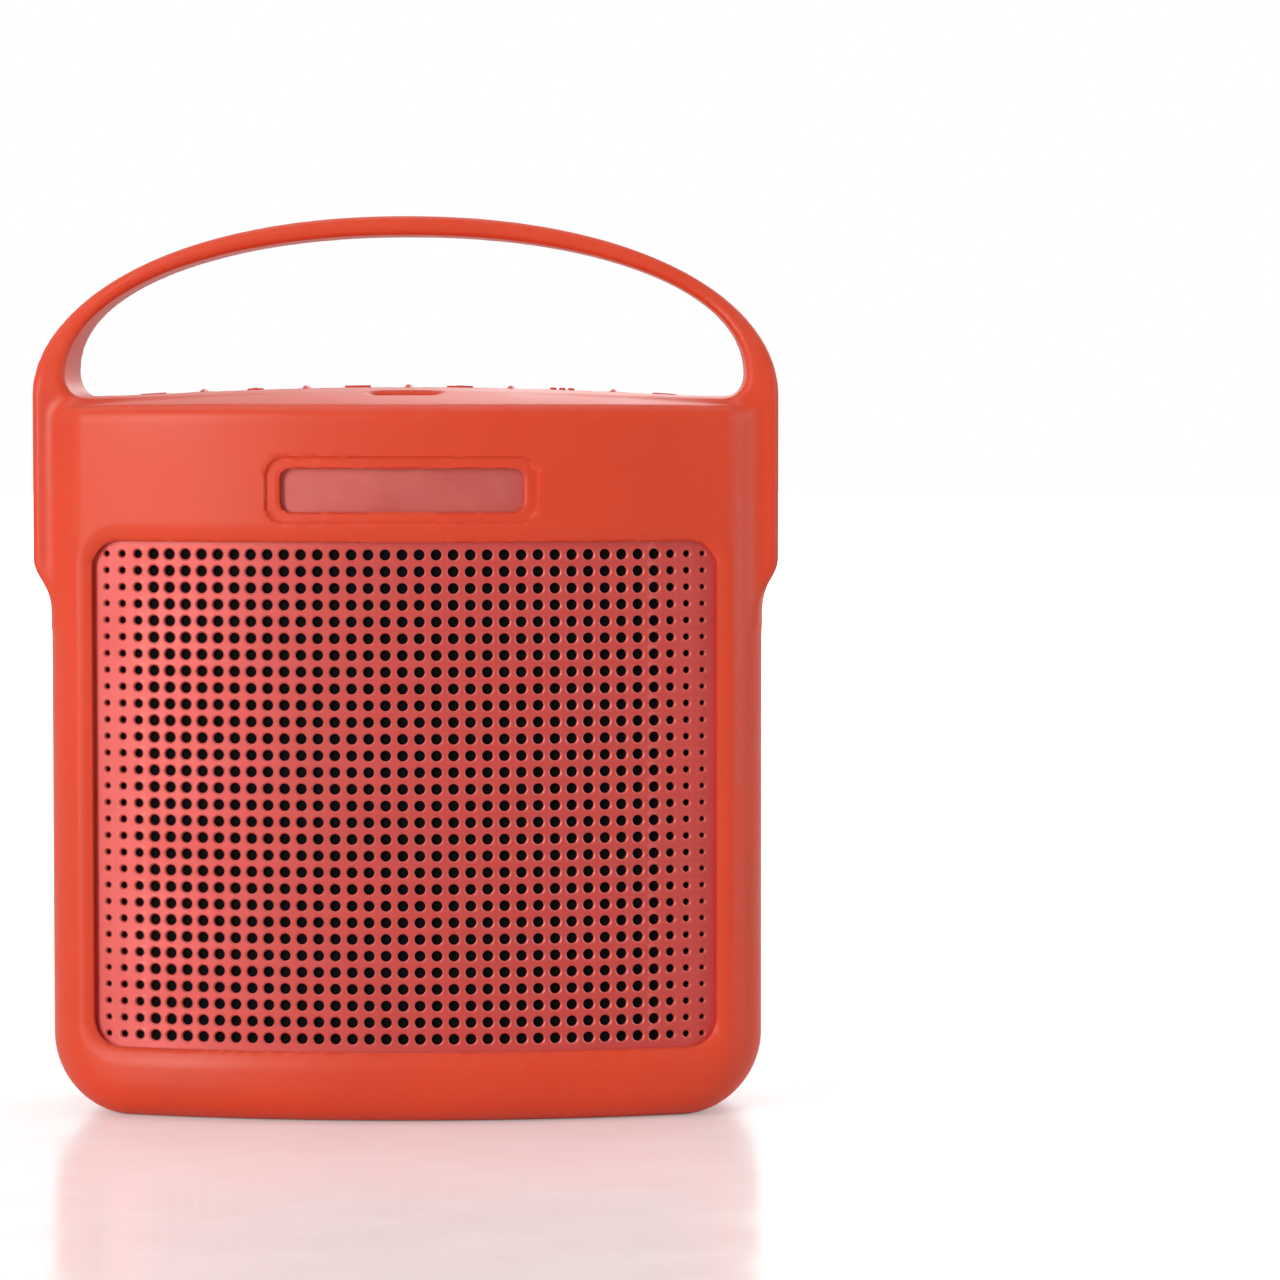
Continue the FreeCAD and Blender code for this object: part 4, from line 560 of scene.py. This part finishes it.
def bent(s, z, depth, side):
    """From the flat sheet to the bow: s runs across, depth goes in from the sheet's face."""
    radius = FACE_RADIUS - WALL
    a = s / radius
    r = radius - depth
    return r * math.sin(a), side * (r * math.cos(a) - HUB), z


CELL_POINTS = 16


def cell_ring(cx, cz):
    """The square's boundary and the unit circle's points, matched one to one."""
    square, circle = [], []
    for i in range(CELL_POINTS):
        k, t = divmod(i, CELL_POINTS // 4)
        along = -1 + 2 * t / (CELL_POINTS // 4)
        edge = [(1, along), (-along, 1), (-1, -along), (along, -1)][k]
        square.append((cx + edge[0] * COLUMN_PITCH / 2, cz + edge[1] * ROW_PITCH / 2))
        b = 2 * math.pi * i / CELL_POINTS - math.pi / 4
        circle.append((math.cos(b), math.sin(b)))
    return square, circle


def punched_sheet(name, columns, rows, middle, half_window, height, side):
    vertices, faces, index = [], [], {}

    def point(s, z, depth):
        key = (round(s, 4), round(z, 4), depth)
        if key not in index:
            index[key] = len(vertices)
            vertices.append(bent(s, z, depth, side))
        return index[key]

    def face(*corners):
        faces.append(corners if side < 0 else corners[::-1])

    for column in range(columns):
        from_side = min(column, columns - 1 - column)
        r = EDGE_HOLE_RADII[from_side] if from_side < len(EDGE_HOLE_RADII) else HOLE_RADIUS
        s = (column - (columns - 1) / 2) * COLUMN_PITCH
        for row in range(rows):
            z = middle + (row - (rows - 1) / 2) * ROW_PITCH
            square, circle = cell_ring(s, z)
            stations = [[(u, v, 0.0) for u, v in square]]
            for radius, depth in ((r + RIM_WIDTH, 0.0), (r, RIM_SINK), (r, SHEET)):
                stations.append([(s + radius * u, z + radius * v, depth) for u, v in circle])
            stations.append([(u, v, SHEET) for u, v in square])
            n = len(square)
            rings = [[point(*p) for p in loop] for loop in stations]
            for a, b in zip(rings, rings[1:]):
                for i in range(n):
                    face(a[i], a[(i + 1) % n], b[(i + 1) % n], b[i])
    half_s, half_z = columns * COLUMN_PITCH / 2, rows * ROW_PITCH / 2
    out_s = (FACE_RADIUS - WALL) * math.asin((half_window + LAP) / (FACE_RADIUS - WALL))
    out_z = height / 2 + LAP
    corner = WINDOW_RADIUS + LAP
    border = []
    per_side = CELL_POINTS // 4
    for k, count in enumerate((rows, columns, rows, columns)):
        for i in range(count * per_side):
            along = -1 + 2 * i / (count * per_side)
            u, v = [(1, along), (-along, 1), (-1, -along), (along, -1)][k]
            border.append((u, v))
    outer = []
    for u, v in border:
        a, b = u * out_s, v * out_z
        ca, cb = math.copysign(out_s - corner, a), math.copysign(out_z - corner, b)
        if abs(a) > abs(ca) and abs(b) > abs(cb):
            d = math.hypot(a - ca, b - cb)
            a, b = ca + (a - ca) * corner / d, cb + (b - cb) * corner / d
        outer.append((a, b))
    n = len(border)
    inner = [(u * half_s, v * half_z) for u, v in border]
    loops = [[point(a, middle + b, 0.0) for a, b in inner], [point(a, middle + b, 0.0) for a, b in outer],
             [point(a, middle + b, SHEET) for a, b in outer], [point(a, middle + b, SHEET) for a, b in inner]]
    for a, b in zip(loops, loops[1:]):
        for i in range(n):
            face(b[i], b[(i + 1) % n], a[(i + 1) % n], a[i])
    return mesh_object(name, vertices, faces, 25)


# %% Both grilles and the cloths behind them
def grille(name, node, columns, rows, window, half_window):
    low, high = window
    side = -1 if node.startswith("front") else 1
    sheet = punched_sheet(name, columns, rows, (low + high) / 2, half_window, high - low, side)
    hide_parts(node)
    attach(sheet, "speaker")
    return sheet


def cloth(name, node, window, half_window):
    """A stretched sheet that touches the grille's back."""
    low, high = window[0] - 2.1, window[1] + 2.1
    side = -1 if node.startswith("front") else 1
    depth = SHEET + 0.15
    half = (FACE_RADIUS - WALL - depth) * math.asin((half_window + 2.1) / (FACE_RADIUS - WALL - depth))
    across, up = 60, 24
    vertices = []
    for i in range(across + 1):
        for j in range(up + 1):
            a = (-half + 2 * half * i / across) * (FACE_RADIUS - WALL) / (FACE_RADIUS - WALL - depth)
            vertices.append(bent(a, low + (high - low) * j / up, depth, side))
    faces = []
    for i in range(across):
        for j in range(up):
            a = i * (up + 1) + j
            quad = (a, a + up + 1, a + up + 2, a + 1)
            faces.append(quad if side < 0 else quad[::-1])
    sheet = mesh_object(name, vertices, faces, 60)
    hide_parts(node)
    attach(sheet, "speaker")
    return sheet


front_sheet = grille("front_punched_grille", "front_grille", 37, 30, FRONT_WINDOW, WINDOW_HALF)
rear_sheet = grille("rear_punched_grille", "rear_grille", 36, 8, REAR_WINDOW, REAR_WINDOW_HALF)
front_dust_cloth = cloth("front_dust_cloth", "front_cloth", FRONT_WINDOW, WINDOW_HALF)
rear_dust_cloth = cloth("rear_dust_cloth", "rear_cloth", REAR_WINDOW, REAR_WINDOW_HALF)
print("grille faces:", len(front_sheet.data.polygons), len(rear_sheet.data.polygons))

# %% [markdown]
# ## Finishes
#
# A finish is more than a colour. Silicone is dull and slightly uneven, powder coat has a fine
# orange peel, moulded plastic has a grain, and dust settles on what faces up. These effects come
# back in many materials, so each one is a node group: a small machine with named inputs and
# outputs. The shader itself stays in each material.

# %% Node helpers
def new_group(name, inputs, outputs):
    """An empty node group: inputs are name: (kind, default), outputs are name: kind."""
    group = bpy.data.node_groups.new(name, "ShaderNodeTree")
    for label, (kind, value) in inputs.items():
        socket = group.interface.new_socket(name=label, in_out="INPUT", socket_type="NodeSocket" + kind)
        socket.default_value = value
    for label, kind in outputs.items():
        group.interface.new_socket(name=label, in_out="OUTPUT", socket_type="NodeSocket" + kind)
    return group, group.nodes.new("NodeGroupInput"), group.nodes.new("NodeGroupOutput")


def node(tree, kind, **values):
    """A node with its settings, and its input sockets set by name or number."""
    made = tree.nodes.new("ShaderNode" + kind)
    for key, value in values.items():
        if hasattr(made, key):
            setattr(made, key, value)
        else:
            made.inputs[key.replace("_", " ")].default_value = value
    return made


def wire(tree, *pairs):
    for a, b in pairs:
        tree.links.new(a, b)


def maths(tree, operation, a, b=None, clamp=False):
    made = tree.nodes.new("ShaderNodeMath")
    made.operation, made.use_clamp = operation, clamp
    for socket, value in zip(made.inputs, (a, b)):
        if value is None:
            continue
        if isinstance(value, (int, float)):
            socket.default_value = value
        else:
            tree.links.new(value, socket)
    return made.outputs[0]


# %% Group: fine grain with slow mottling
def make_grain():
    group, gin, gout = new_group("moulded_grain", {
        "Grain Size": ("Float", 0.0004), "Mottle Size": ("Float", 0.02)},
        {"Height": "Float", "Mottle": "Float"})
    place = node(group, "TexCoord")
    fine_scale = maths(group, "DIVIDE", 1.0, gin.outputs["Grain Size"])
    slow_scale = maths(group, "DIVIDE", 1.0, gin.outputs["Mottle Size"])
    fine = node(group, "TexNoise", Detail=3.0, Roughness=0.6)
    cells = node(group, "TexVoronoi", feature="SMOOTH_F1", Smoothness=0.8)
    slow = node(group, "TexNoise", Detail=4.0, Roughness=0.55)
    wire(group, (place.outputs["Object"], fine.inputs["Vector"]), (fine_scale, fine.inputs["Scale"]),
         (place.outputs["Object"], cells.inputs["Vector"]), (fine_scale, cells.inputs["Scale"]),
         (place.outputs["Object"], slow.inputs["Vector"]), (slow_scale, slow.inputs["Scale"]))
    height = maths(group, "ADD", maths(group, "MULTIPLY", fine.outputs[0], 0.6),
                   maths(group, "MULTIPLY", cells.outputs["Distance"], 0.6))
    wire(group, (height, gout.inputs["Height"]), (slow.outputs[0], gout.inputs["Mottle"]))
    return group


# %% Group: dust on what faces up, and paler edges: wear, and a painted highlight on the grille's punched rims
def make_dust():
    group, gin, gout = new_group("settled_dust", {"Amount": ("Float", 0.3), "Speck Size": ("Float", 0.003)},
                                 {"Mask": "Float"})
    place, shape = node(group, "TexCoord"), node(group, "NewGeometry")
    split = node(group, "SeparateXYZ")
    specks = node(group, "TexNoise", Detail=6.0, Roughness=0.7)
    wire(group, (shape.outputs["Normal"], split.inputs[0]),
         (place.outputs["Object"], specks.inputs["Vector"]),
         (maths(group, "DIVIDE", 1.0, gin.outputs["Speck Size"]), specks.inputs["Scale"]))
    facing = maths(group, "MAXIMUM", split.outputs["Z"], 0.0)
    patchy = maths(group, "SUBTRACT", maths(group, "MULTIPLY", specks.outputs[0], 2.2), 0.75, clamp=True)
    base = maths(group, "ADD", maths(group, "MULTIPLY", facing, 0.8), 0.2)
    mask = maths(group, "MULTIPLY", maths(group, "MULTIPLY", base, patchy), gin.outputs["Amount"], clamp=True)
    wire(group, (mask, gout.inputs["Mask"]))
    return group


def make_wear_and_highlight():
    group, gin, gout = new_group("edge_wear_and_highlight", {"Amount": ("Float", 0.3), "Sharpness": ("Float", 12.0)},
                                 {"Mask": "Float"})
    place, shape = node(group, "TexCoord"), node(group, "NewGeometry")
    uneven = node(group, "TexNoise", Scale=180.0, Detail=4.0)
    wire(group, (place.outputs["Object"], uneven.inputs["Vector"]))
    # Convex edges turn paler: wear on most parts, and a painted highlight on the grille's punched rims.
    edge = maths(group, "MULTIPLY", maths(group, "SUBTRACT", shape.outputs["Pointiness"], 0.5),
                 gin.outputs["Sharpness"], clamp=True)
    broken = maths(group, "ADD", maths(group, "MULTIPLY", uneven.outputs[0], 0.9), 0.3)
    pale_edges = maths(group, "MULTIPLY", edge, broken)
    wire(group, (maths(group, "MULTIPLY", pale_edges, gin.outputs["Amount"], clamp=True),
                 gout.inputs["Mask"]))
    return group


# %% Group: woven threads, and fine parallel lines
def make_weave():
    group, gin, gout = new_group("woven_threads", {"Thread": ("Float", 0.0003)},
                                 {"Height": "Float", "Gap": "Float"})
    place, split = node(group, "TexCoord"), node(group, "SeparateXYZ")
    wire(group, (place.outputs["Object"], split.inputs[0]))
    turn = maths(group, "DIVIDE", math.pi, gin.outputs["Thread"])
    across = maths(group, "SINE", maths(group, "MULTIPLY", split.outputs["X"], turn))
    along = maths(group, "SINE", maths(group, "MULTIPLY", split.outputs["Z"], turn))
    over = maths(group, "MULTIPLY", across, along)
    height = maths(group, "ADD", maths(group, "MULTIPLY", over, 0.35),
                   maths(group, "ADD", maths(group, "ABSOLUTE", across), maths(group, "ABSOLUTE", along)))
    gap = maths(group, "LESS_THAN", maths(group, "MULTIPLY", maths(group, "ABSOLUTE", across),
                                         maths(group, "ABSOLUTE", along)), 0.18)
    wire(group, (height, gout.inputs["Height"]), (gap, gout.inputs["Gap"]))
    return group


def make_lines():
    group, gin, gout = new_group("fine_lines", {"Spacing": ("Float", 0.0003), "Stretch": ("Float", 30.0)},
                                 {"Height": "Float"})
    place, scale = node(group, "TexCoord"), node(group, "Mapping")
    streaks = node(group, "TexNoise", Detail=3.0, Roughness=0.6)
    combine = node(group, "CombineXYZ")
    dense = maths(group, "DIVIDE", 1.0, gin.outputs["Spacing"])
    wire(group, (maths(group, "DIVIDE", dense, gin.outputs["Stretch"]), combine.inputs[0]),
         (dense, combine.inputs[1]), (dense, combine.inputs[2]),
         (place.outputs["Object"], scale.inputs["Vector"]), (combine.outputs[0], scale.inputs["Scale"]),
         (scale.outputs[0], streaks.inputs["Vector"]))
    streaks.inputs["Scale"].default_value = 1.0
    wire(group, (streaks.outputs[0], gout.inputs["Height"]))
    return group


GRAIN, DUST, WEAR_AND_HIGHLIGHT, WEAVE, LINES = make_grain(), make_dust(), make_wear_and_highlight(), make_weave(), make_lines()
print("groups:", [g.name for g in bpy.data.node_groups])

# %% [markdown]
# ## One recipe for the dull finishes
#
# Silicone, paint, moulded plastic, card and plated metal differ in numbers, not in kind: a base
# colour that drifts a little, a roughness that drifts with it, a bump from the grain, a little dust
# and paler edges, which are wear on most parts and a painted highlight on the grille's punched
# rims. One function lays out those nodes, so that each finish is a line of values.

# %% The recipe
DUST_COLOUR = (0.62, 0.55, 0.5)


def mixed(tree, factor, first, second):
    """Colour first where factor is 0 and second where it is 1."""
    mix = node(tree, "Mix", data_type="RGBA")
    for socket, value in ((mix.inputs[0], factor), (mix.inputs[6], first), (mix.inputs[7], second)):
        if isinstance(value, tuple):
            socket.default_value = (*value, 1)
        elif isinstance(value, (int, float)):
            socket.default_value = value
        else:
            tree.links.new(value, socket)
    return mix.outputs[2]


def placed(tree, group, **values):
    made = tree.nodes.new("ShaderNodeGroup")
    made.node_tree = group
    for key, value in values.items():
        made.inputs[key.replace("_", " ")].default_value = value
    return made


def finish(name, colour, rough, metallic=0.0, grain=0.0004, bump=0.00002, mottle=0.1, mottle_size=0.02,
           dust=0.0, wear=0.0, wear_colour=None, pattern=None, **sockets):
    """A material: colour and roughness are linear values; grain and bump are in metres."""
    made = bpy.data.materials.new(name)
    made.use_nodes = True
    tree = made.node_tree
    shader = tree.nodes["Principled BSDF"]
    shader.inputs["Metallic"].default_value = metallic
    for key, value in sockets.items():
        shader.inputs[key.replace("_", " ")].default_value = value
    texture = placed(tree, GRAIN, Grain_Size=grain, Mottle_Size=mottle_size)
    drift = node(tree, "MapRange", From_Min=0.3, From_Max=0.7, To_Min=1 - mottle, To_Max=1 + mottle)
    tint = node(tree, "VectorMath", operation="SCALE")
    tint.inputs[0].default_value = colour
    wire(tree, (texture.outputs["Mottle"], drift.inputs[0]), (drift.outputs[0], tint.inputs["Scale"]))
    shade, height = tint.outputs[0], texture.outputs["Height"]
    if pattern:
        shade, height = pattern(tree, shade, height)
    rough_now = node(tree, "MapRange", From_Min=0.3, From_Max=0.7, To_Min=rough - 0.05, To_Max=rough + 0.05)
    wire(tree, (texture.outputs["Mottle"], rough_now.inputs[0]))
    rough_socket = rough_now.outputs[0]
    # Paler edges: wear on most parts, and a painted highlight on the grille's punched rims.
    if wear:
        pale_edges = placed(tree, WEAR_AND_HIGHLIGHT, Amount=wear)
        paler = wear_colour or tuple(min(1, c * 1.6 + 0.02) for c in colour)
        shade = mixed(tree, pale_edges.outputs["Mask"], shade, paler)
    if dust:
        settled = placed(tree, DUST, Amount=dust)
        shade = mixed(tree, settled.outputs["Mask"], shade, DUST_COLOUR)
        dulled = maths(tree, "MULTIPLY", settled.outputs["Mask"], 0.4)
        rough_socket = maths(tree, "ADD", rough_socket, dulled, True)
    relief = node(tree, "Bump", Strength=1.0, Distance=bump)
    wire(tree, (height, relief.inputs["Height"]), (relief.outputs[0], shader.inputs["Normal"]),
         (shade, shader.inputs["Base Color"]), (rough_socket, shader.inputs["Roughness"]))
    return made


def dress(material, *names):
    """Gives the material to objects or CAD nodes, in place of what they had."""
    for item in names:
        obj = nodes[item] if isinstance(item, str) else item
        obj.data.materials.clear()
        obj.data.materials.append(material)


# %% [markdown]
# ## Silicone
#
# Moulded silicone is dull but not flat: light goes a little way in and comes out warmer, its skin
# has a soft sheen at a slant, and it holds fine dust on top. It has no wear, because it doesn't chip.

# %% Silicone for the sleeve, ridges, pads and marks
SILICONE = (0.75, 0.056, 0.014)
silicone = finish("orange_silicone", SILICONE, 0.43, grain=0.00035, bump=0.000012, mottle=0.05,
                  mottle_size=0.03, dust=0.07, Sheen_Weight=0.14, Sheen_Roughness=0.45,
                  Sheen_Tint=(1.0, 0.5, 0.38, 1), Subsurface_Weight=0.12, Subsurface_Scale=0.0012,
                  Subsurface_Radius=(1.0, 0.35, 0.2), IOR=1.42)
key_silicone = finish("key_pad_silicone", tuple(c * 0.97 for c in SILICONE), 0.46, grain=0.0003, bump=0.00001,
                      mottle=0.05, dust=0.06, Sheen_Weight=0.14, Sheen_Roughness=0.4,
                      Sheen_Tint=(1.0, 0.5, 0.38, 1), Subsurface_Weight=0.1, Subsurface_Scale=0.001,
                      Subsurface_Radius=(1.0, 0.35, 0.2), IOR=1.42)
dress(silicone, sleeve, ridges, medallion)
dress(key_silicone, *pads, *marks)

# %% [markdown]
# ## Painted steel
#
# The grilles and the badge plate are powder-coated: a satin skin with a fine orange peel, a shade
# pinker than the sleeve. The punched rims are painted a paler pink, which is a painted highlight.

# %% Paint for grilles and badge
# The pale pink that the edge mask puts on the punched rims is a painted highlight.
grille_paint = finish("pink_red_powder_coat", (0.58, 0.036, 0.030), 0.42, metallic=0.2, grain=0.0005,
                      bump=0.000015, mottle=0.06, wear=0.35, wear_colour=(0.85, 0.3, 0.25), dust=0.08,
                      Coat_Weight=0.15, Coat_Roughness=0.35)
badge_paint = finish("badge_satin_paint", (0.5, 0.036, 0.03), 0.45, metallic=0.2, grain=0.0006, bump=0.00001,
                     mottle=0.07, wear=0.3, wear_colour=(0.8, 0.3, 0.25), dust=0.1, Coat_Weight=0.2,
                     Coat_Roughness=0.35)
dress(grille_paint, front_sheet, rear_sheet)
dress(badge_paint, "badge_plate")


# %% Cloths and woven parts
def woven(thread, gap_colour):
    def pattern(tree, shade, height):
        threads = placed(tree, WEAVE, Thread=thread)
        return mixed(tree, threads.outputs["Gap"], shade, gap_colour), threads.outputs["Height"]
    return pattern


# The cloth is black, and its colour is made darker still: this is painted shade for the inside of the holes.
acoustic_cloth = finish("acoustic_cloth", (0.004, 0.004, 0.004), 0.95, bump=0.00008,
                        pattern=woven(0.0004, (0.002, 0.002, 0.002)),
                        Specular_IOR_Level=0.15)
spider_cloth = finish("dipped_spider_cloth", (0.34, 0.2, 0.07), 0.8, bump=0.00006, mottle=0.2,
                      pattern=woven(0.0006, (0.12, 0.06, 0.02)))
dress(acoustic_cloth, front_dust_cloth, rear_dust_cloth)
dress(spider_cloth, "driver_spiders")


# %% Lined and striped parts
def shaded(tree, shade, factor):
    """The colour made lighter or darker by a factor."""
    made = node(tree, "VectorMath", operation="SCALE")
    wire(tree, (shade, made.inputs[0]), (factor, made.inputs["Scale"]))
    return made.outputs[0]


def lined(spacing, stretch, amount=0.25):
    def pattern(tree, shade, height):
        streaks = placed(tree, LINES, Spacing=spacing, Stretch=stretch).outputs[0]
        factor = maths(tree, "ADD", maths(tree, "MULTIPLY", streaks, amount), 1 - amount / 2)
        return shaded(tree, shade, factor), streaks
    return pattern


def traced(tree, shade, height):
    """Copper tracks under the green mask of a circuit board."""
    place = node(tree, "TexCoord")
    turned = node(tree, "Mapping")
    turned.inputs["Rotation"].default_value = (math.pi / 2, 0, 0)
    tracks = node(tree, "TexBrick", offset=0.5, Scale=1.0, Mortar_Size=0.00022, Brick_Width=0.006,
                  Row_Height=0.0013)
    wire(tree, (place.outputs["Object"], turned.inputs[0]), (turned.outputs[0], tracks.inputs["Vector"]))
    relief = maths(tree, "ADD", maths(tree, "MULTIPLY", tracks.outputs["Fac"], 0.6),
                   maths(tree, "MULTIPLY", height, 0.2))
    return mixed(tree, tracks.outputs["Fac"], shade, (0.05, 0.26, 0.11)), relief


def wound(tree, shade, height):
    """Turns of enamelled wire side by side."""
    place = node(tree, "TexCoord")
    bands = node(tree, "TexWave", wave_type="BANDS", bands_direction="Y", Scale=1600.0)
    wire(tree, (place.outputs["Object"], bands.inputs["Vector"]))
    factor = maths(tree, "ADD", maths(tree, "MULTIPLY", bands.outputs["Fac"], 0.6), 0.4)
    return shaded(tree, shade, factor), bands.outputs["Fac"]


# %% [markdown]
# ## Inside finishes
#
# Nobody sees the inside in use, but a part from a library gets taken apart. Each inner piece keeps
# its CAD shape and gets the finish that the real one has.

# %% The inner pieces
INNER = {
    "black_textured_abs": (
        dict(colour=(0.014, 0.014, 0.015), rough=0.55, grain=0.0006, bump=0.00004, wear=0.3),
        ["front_housing", "rear_housing", "socket_bezel", "sound_socket"]),
    "grey_moulded_abs": (
        dict(colour=(0.06, 0.06, 0.066), rough=0.5, grain=0.0005, bump=0.00003, wear=0.3),
        ["control_panel", "battery_tray", "front_radiator_frame", "rear_radiator_frame"]),
    "white_acetal": (
        dict(colour=(0.6, 0.6, 0.57), rough=0.38, bump=0.00001, mottle=0.04,
             Subsurface_Weight=0.08, Subsurface_Scale=0.001),
        [n + "_key" for n in KEY_NAMES]),
    "circuit_board": (
        dict(colour=(0.01, 0.13, 0.05), rough=0.3, bump=0.00004, pattern=traced,
             Coat_Weight=0.4, Coat_Roughness=0.15),
        ["main_board", "button_board", "socket_board"]),
    "moulded_epoxy": (
        dict(colour=(0.02, 0.02, 0.022), rough=0.5, grain=0.0003, bump=0.00002, wear=0.4),
        ["board_components", "tact_switches"]),
    "bright_plated_steel": (
        dict(colour=(0.55, 0.55, 0.56), rough=0.26, metallic=1.0, bump=0.00001, wear=0.3,
             wear_colour=(0.8, 0.8, 0.8), pattern=lined(0.0003, 25)),
        ["housing_screws", "small_screws", "microphone", "driver_yokes", "radio_shield_can",
         "charging_socket"]),
    "black_oxide_steel": (
        dict(colour=(0.03, 0.03, 0.033), rough=0.4, metallic=0.6, bump=0.00002, wear=0.5,
             wear_colour=(0.3, 0.3, 0.3)),
        ["driver_baskets", "front_radiator_plate", "rear_radiator_plate"]),
    "sintered_ferrite": (
        dict(colour=(0.035, 0.034, 0.036), rough=0.6, grain=0.0008, bump=0.00006, mottle=0.2, wear=0.4),
        ["driver_magnets"]),
    "pressed_paper": (
        dict(colour=(0.02, 0.02, 0.022), rough=0.85, grain=0.0011, bump=0.00009, mottle=0.25),
        ["left_driver_cone", "right_driver_cone", "left_driver_dust_cap", "right_driver_dust_cap"]),
    "soft_black_rubber": (
        dict(colour=(0.011, 0.011, 0.012), rough=0.5, bump=0.00002, dust=0.15, Sheen_Weight=0.2),
        ["driver_surrounds", "front_radiator_roll", "rear_radiator_roll", "rubber_foot"]),
    "closed_cell_foam": (
        dict(colour=(0.03, 0.03, 0.032), rough=0.95, grain=0.0009, bump=0.00012, mottle=0.2),
        ["housing_gasket", "driver_gaskets"]),
    "copper_winding": (
        dict(colour=(0.62, 0.2, 0.08), rough=0.3, metallic=0.9, bump=0.00006, pattern=wound),
        ["left_driver_voice_coil", "right_driver_voice_coil"]),
    "cell_wrap_film": (
        dict(colour=(0.03, 0.13, 0.3), rough=0.28, bump=0.00003, mottle_size=0.006,
             pattern=lined(0.0012, 6, 0.1), Coat_Weight=0.5, Coat_Roughness=0.1),
        ["battery_cells"]),
    "red_wire_sheath": (
        dict(colour=(0.35, 0.015, 0.012), rough=0.42, bump=0.00001, mottle=0.06),
        ["wire_leads"]),
    "ribbon_film": (
        dict(colour=(0.55, 0.52, 0.42), rough=0.35, bump=0.00003, pattern=lined(0.0005, 0.02, 0.3)),
        ["button_ribbon"]),
}
for name, (values, used_on) in INNER.items():
    dress(finish(name, **values), *used_on)
print("inner finishes:", len(INNER))


# %% Clear plastics
def clear(name, colour, rough, grain_bump):
    """Clear moulded plastic: transmission with a faint moulded ripple."""
    made = finish(name, colour, rough, grain=0.002, bump=grain_bump, mottle=0.02)
    made.node_tree.nodes["Principled BSDF"].inputs["Transmission Weight"].default_value = 0.85
    made.node_tree.nodes["Principled BSDF"].inputs["IOR"].default_value = 1.49
    return made


dress(clear("tinted_lens", (0.62, 0.09, 0.045), 0.28, 0.000004), "status_lens")
dress(clear("clear_acrylic", (0.9, 0.92, 0.93), 0.1, 0.000004), "status_light_pipe", "status_lamps")

# %% [markdown]
# ## Floor, light and camera
#
# The object stands on a pale, slightly glossy table in a white room. A large soft lamp over the
# front left does most of the work, a weaker one fills from the right, and one behind gives the
# handle its bright edge. The lamps are kept weak enough that the silicone shows its form: it is lit
# by the white room nearly as much as by them. The room looks whiter than it lights, because a
# studio's backdrop has lamps of its own.

# %% Table, room and lamps
TABLE_HALF = 6.0
ROOM_LIGHT, ROOM_SEEN = 0.2, 1.0


def table():
    edge = TABLE_HALF / MM
    corners = [(-edge, -edge, 0), (edge, -edge, 0), (edge, edge, 0), (-edge, edge, 0)]
    floor = mesh_object("white_table", corners, [(0, 1, 2, 3)], 180)
    paint = finish("white_table_gloss", (0.9, 0.9, 0.9), 0.19, bump=0.0, mottle=0.0, IOR=1.55)
    tree = paint.node_tree
    seen, place = node(tree, "LightPath"), node(tree, "TexCoord")
    away = node(tree, "VectorMath", operation="LENGTH")
    glow = node(tree, "MapRange", From_Min=0.2, From_Max=1.2, To_Min=0.27, To_Max=1.0)
    shader = tree.nodes["Principled BSDF"]
    shader.inputs["Emission Color"].default_value = (1, 1, 1, 1)
    wire(tree, (place.outputs["Object"], away.inputs[0]), (away.outputs["Value"], glow.inputs[0]))
    wire(tree, (maths(tree, "MULTIPLY", seen.outputs["Is Camera Ray"], glow.outputs[0]),
                shader.inputs["Emission Strength"]))
    floor.data.materials.append(paint)


def soft_lamp(name, location, aim, size, power, colour=(1, 1, 1)):
    data = bpy.data.lights.new(name, "AREA")
    data.shape, data.size, data.size_y = "RECTANGLE", size[0], size[1]
    data.energy, data.color = power, colour
    lamp = bpy.data.objects.new(name, data)
    lamp.location = location
    lamp.rotation_euler = (Vector(aim) - Vector(location)).to_track_quat("-Z", "Y").to_euler()
    bpy.context.scene.collection.objects.link(lamp)


def white_room():
    world = bpy.data.worlds.new("white_room")
    world.use_nodes = True
    tree = world.node_tree
    back = tree.nodes["Background"]
    back.inputs["Color"].default_value = (1.0, 1.0, 1.0, 1)
    seen = node(tree, "LightPath")
    shown = maths(tree, "MAXIMUM", seen.outputs["Is Camera Ray"], seen.outputs["Is Glossy Ray"])
    tree.links.new(maths(tree, "ADD", maths(tree, "MULTIPLY", shown, ROOM_SEEN - ROOM_LIGHT), ROOM_LIGHT),
                   back.inputs["Strength"])
    bpy.context.scene.world = world


table()
white_room()
AIM = (0.0, 0.0, 0.08)
soft_lamp("key_softbox", (-0.78, -1.0, 0.42), AIM, (0.34, 0.8), 10.5, (1.0, 0.985, 0.96))
soft_lamp("fill_softbox", (1.0, -0.18, 0.3), AIM, (0.3, 0.8), 3.0, (0.97, 0.985, 1.0))
soft_lamp("top_softbox", (-0.1, 0.1, 1.0), AIM, (0.8, 0.6), 2.2)
soft_lamp("back_softbox", (0.3, 0.85, 0.5), AIM, (0.8, 0.5), 2.5)
bpy.context.scene.view_settings.view_transform = "Standard"

# %% Camera
EYE, TARGET = Vector((43.7, -909.0, 134.0)) * MM, Vector((43.7, 0.0, 88.1)) * MM
camera_data = bpy.data.cameras.new("long_lens")
camera_data.lens, camera_data.sensor_width = 135.0, 36.0
camera_data.clip_start, camera_data.clip_end = 0.05, 20.0
camera = bpy.data.objects.new("camera", camera_data)
camera.location = EYE
camera.rotation_euler = (TARGET - EYE).to_track_quat("-Z", "Y").to_euler()
bpy.context.scene.collection.objects.link(camera)
bpy.context.scene.camera = camera
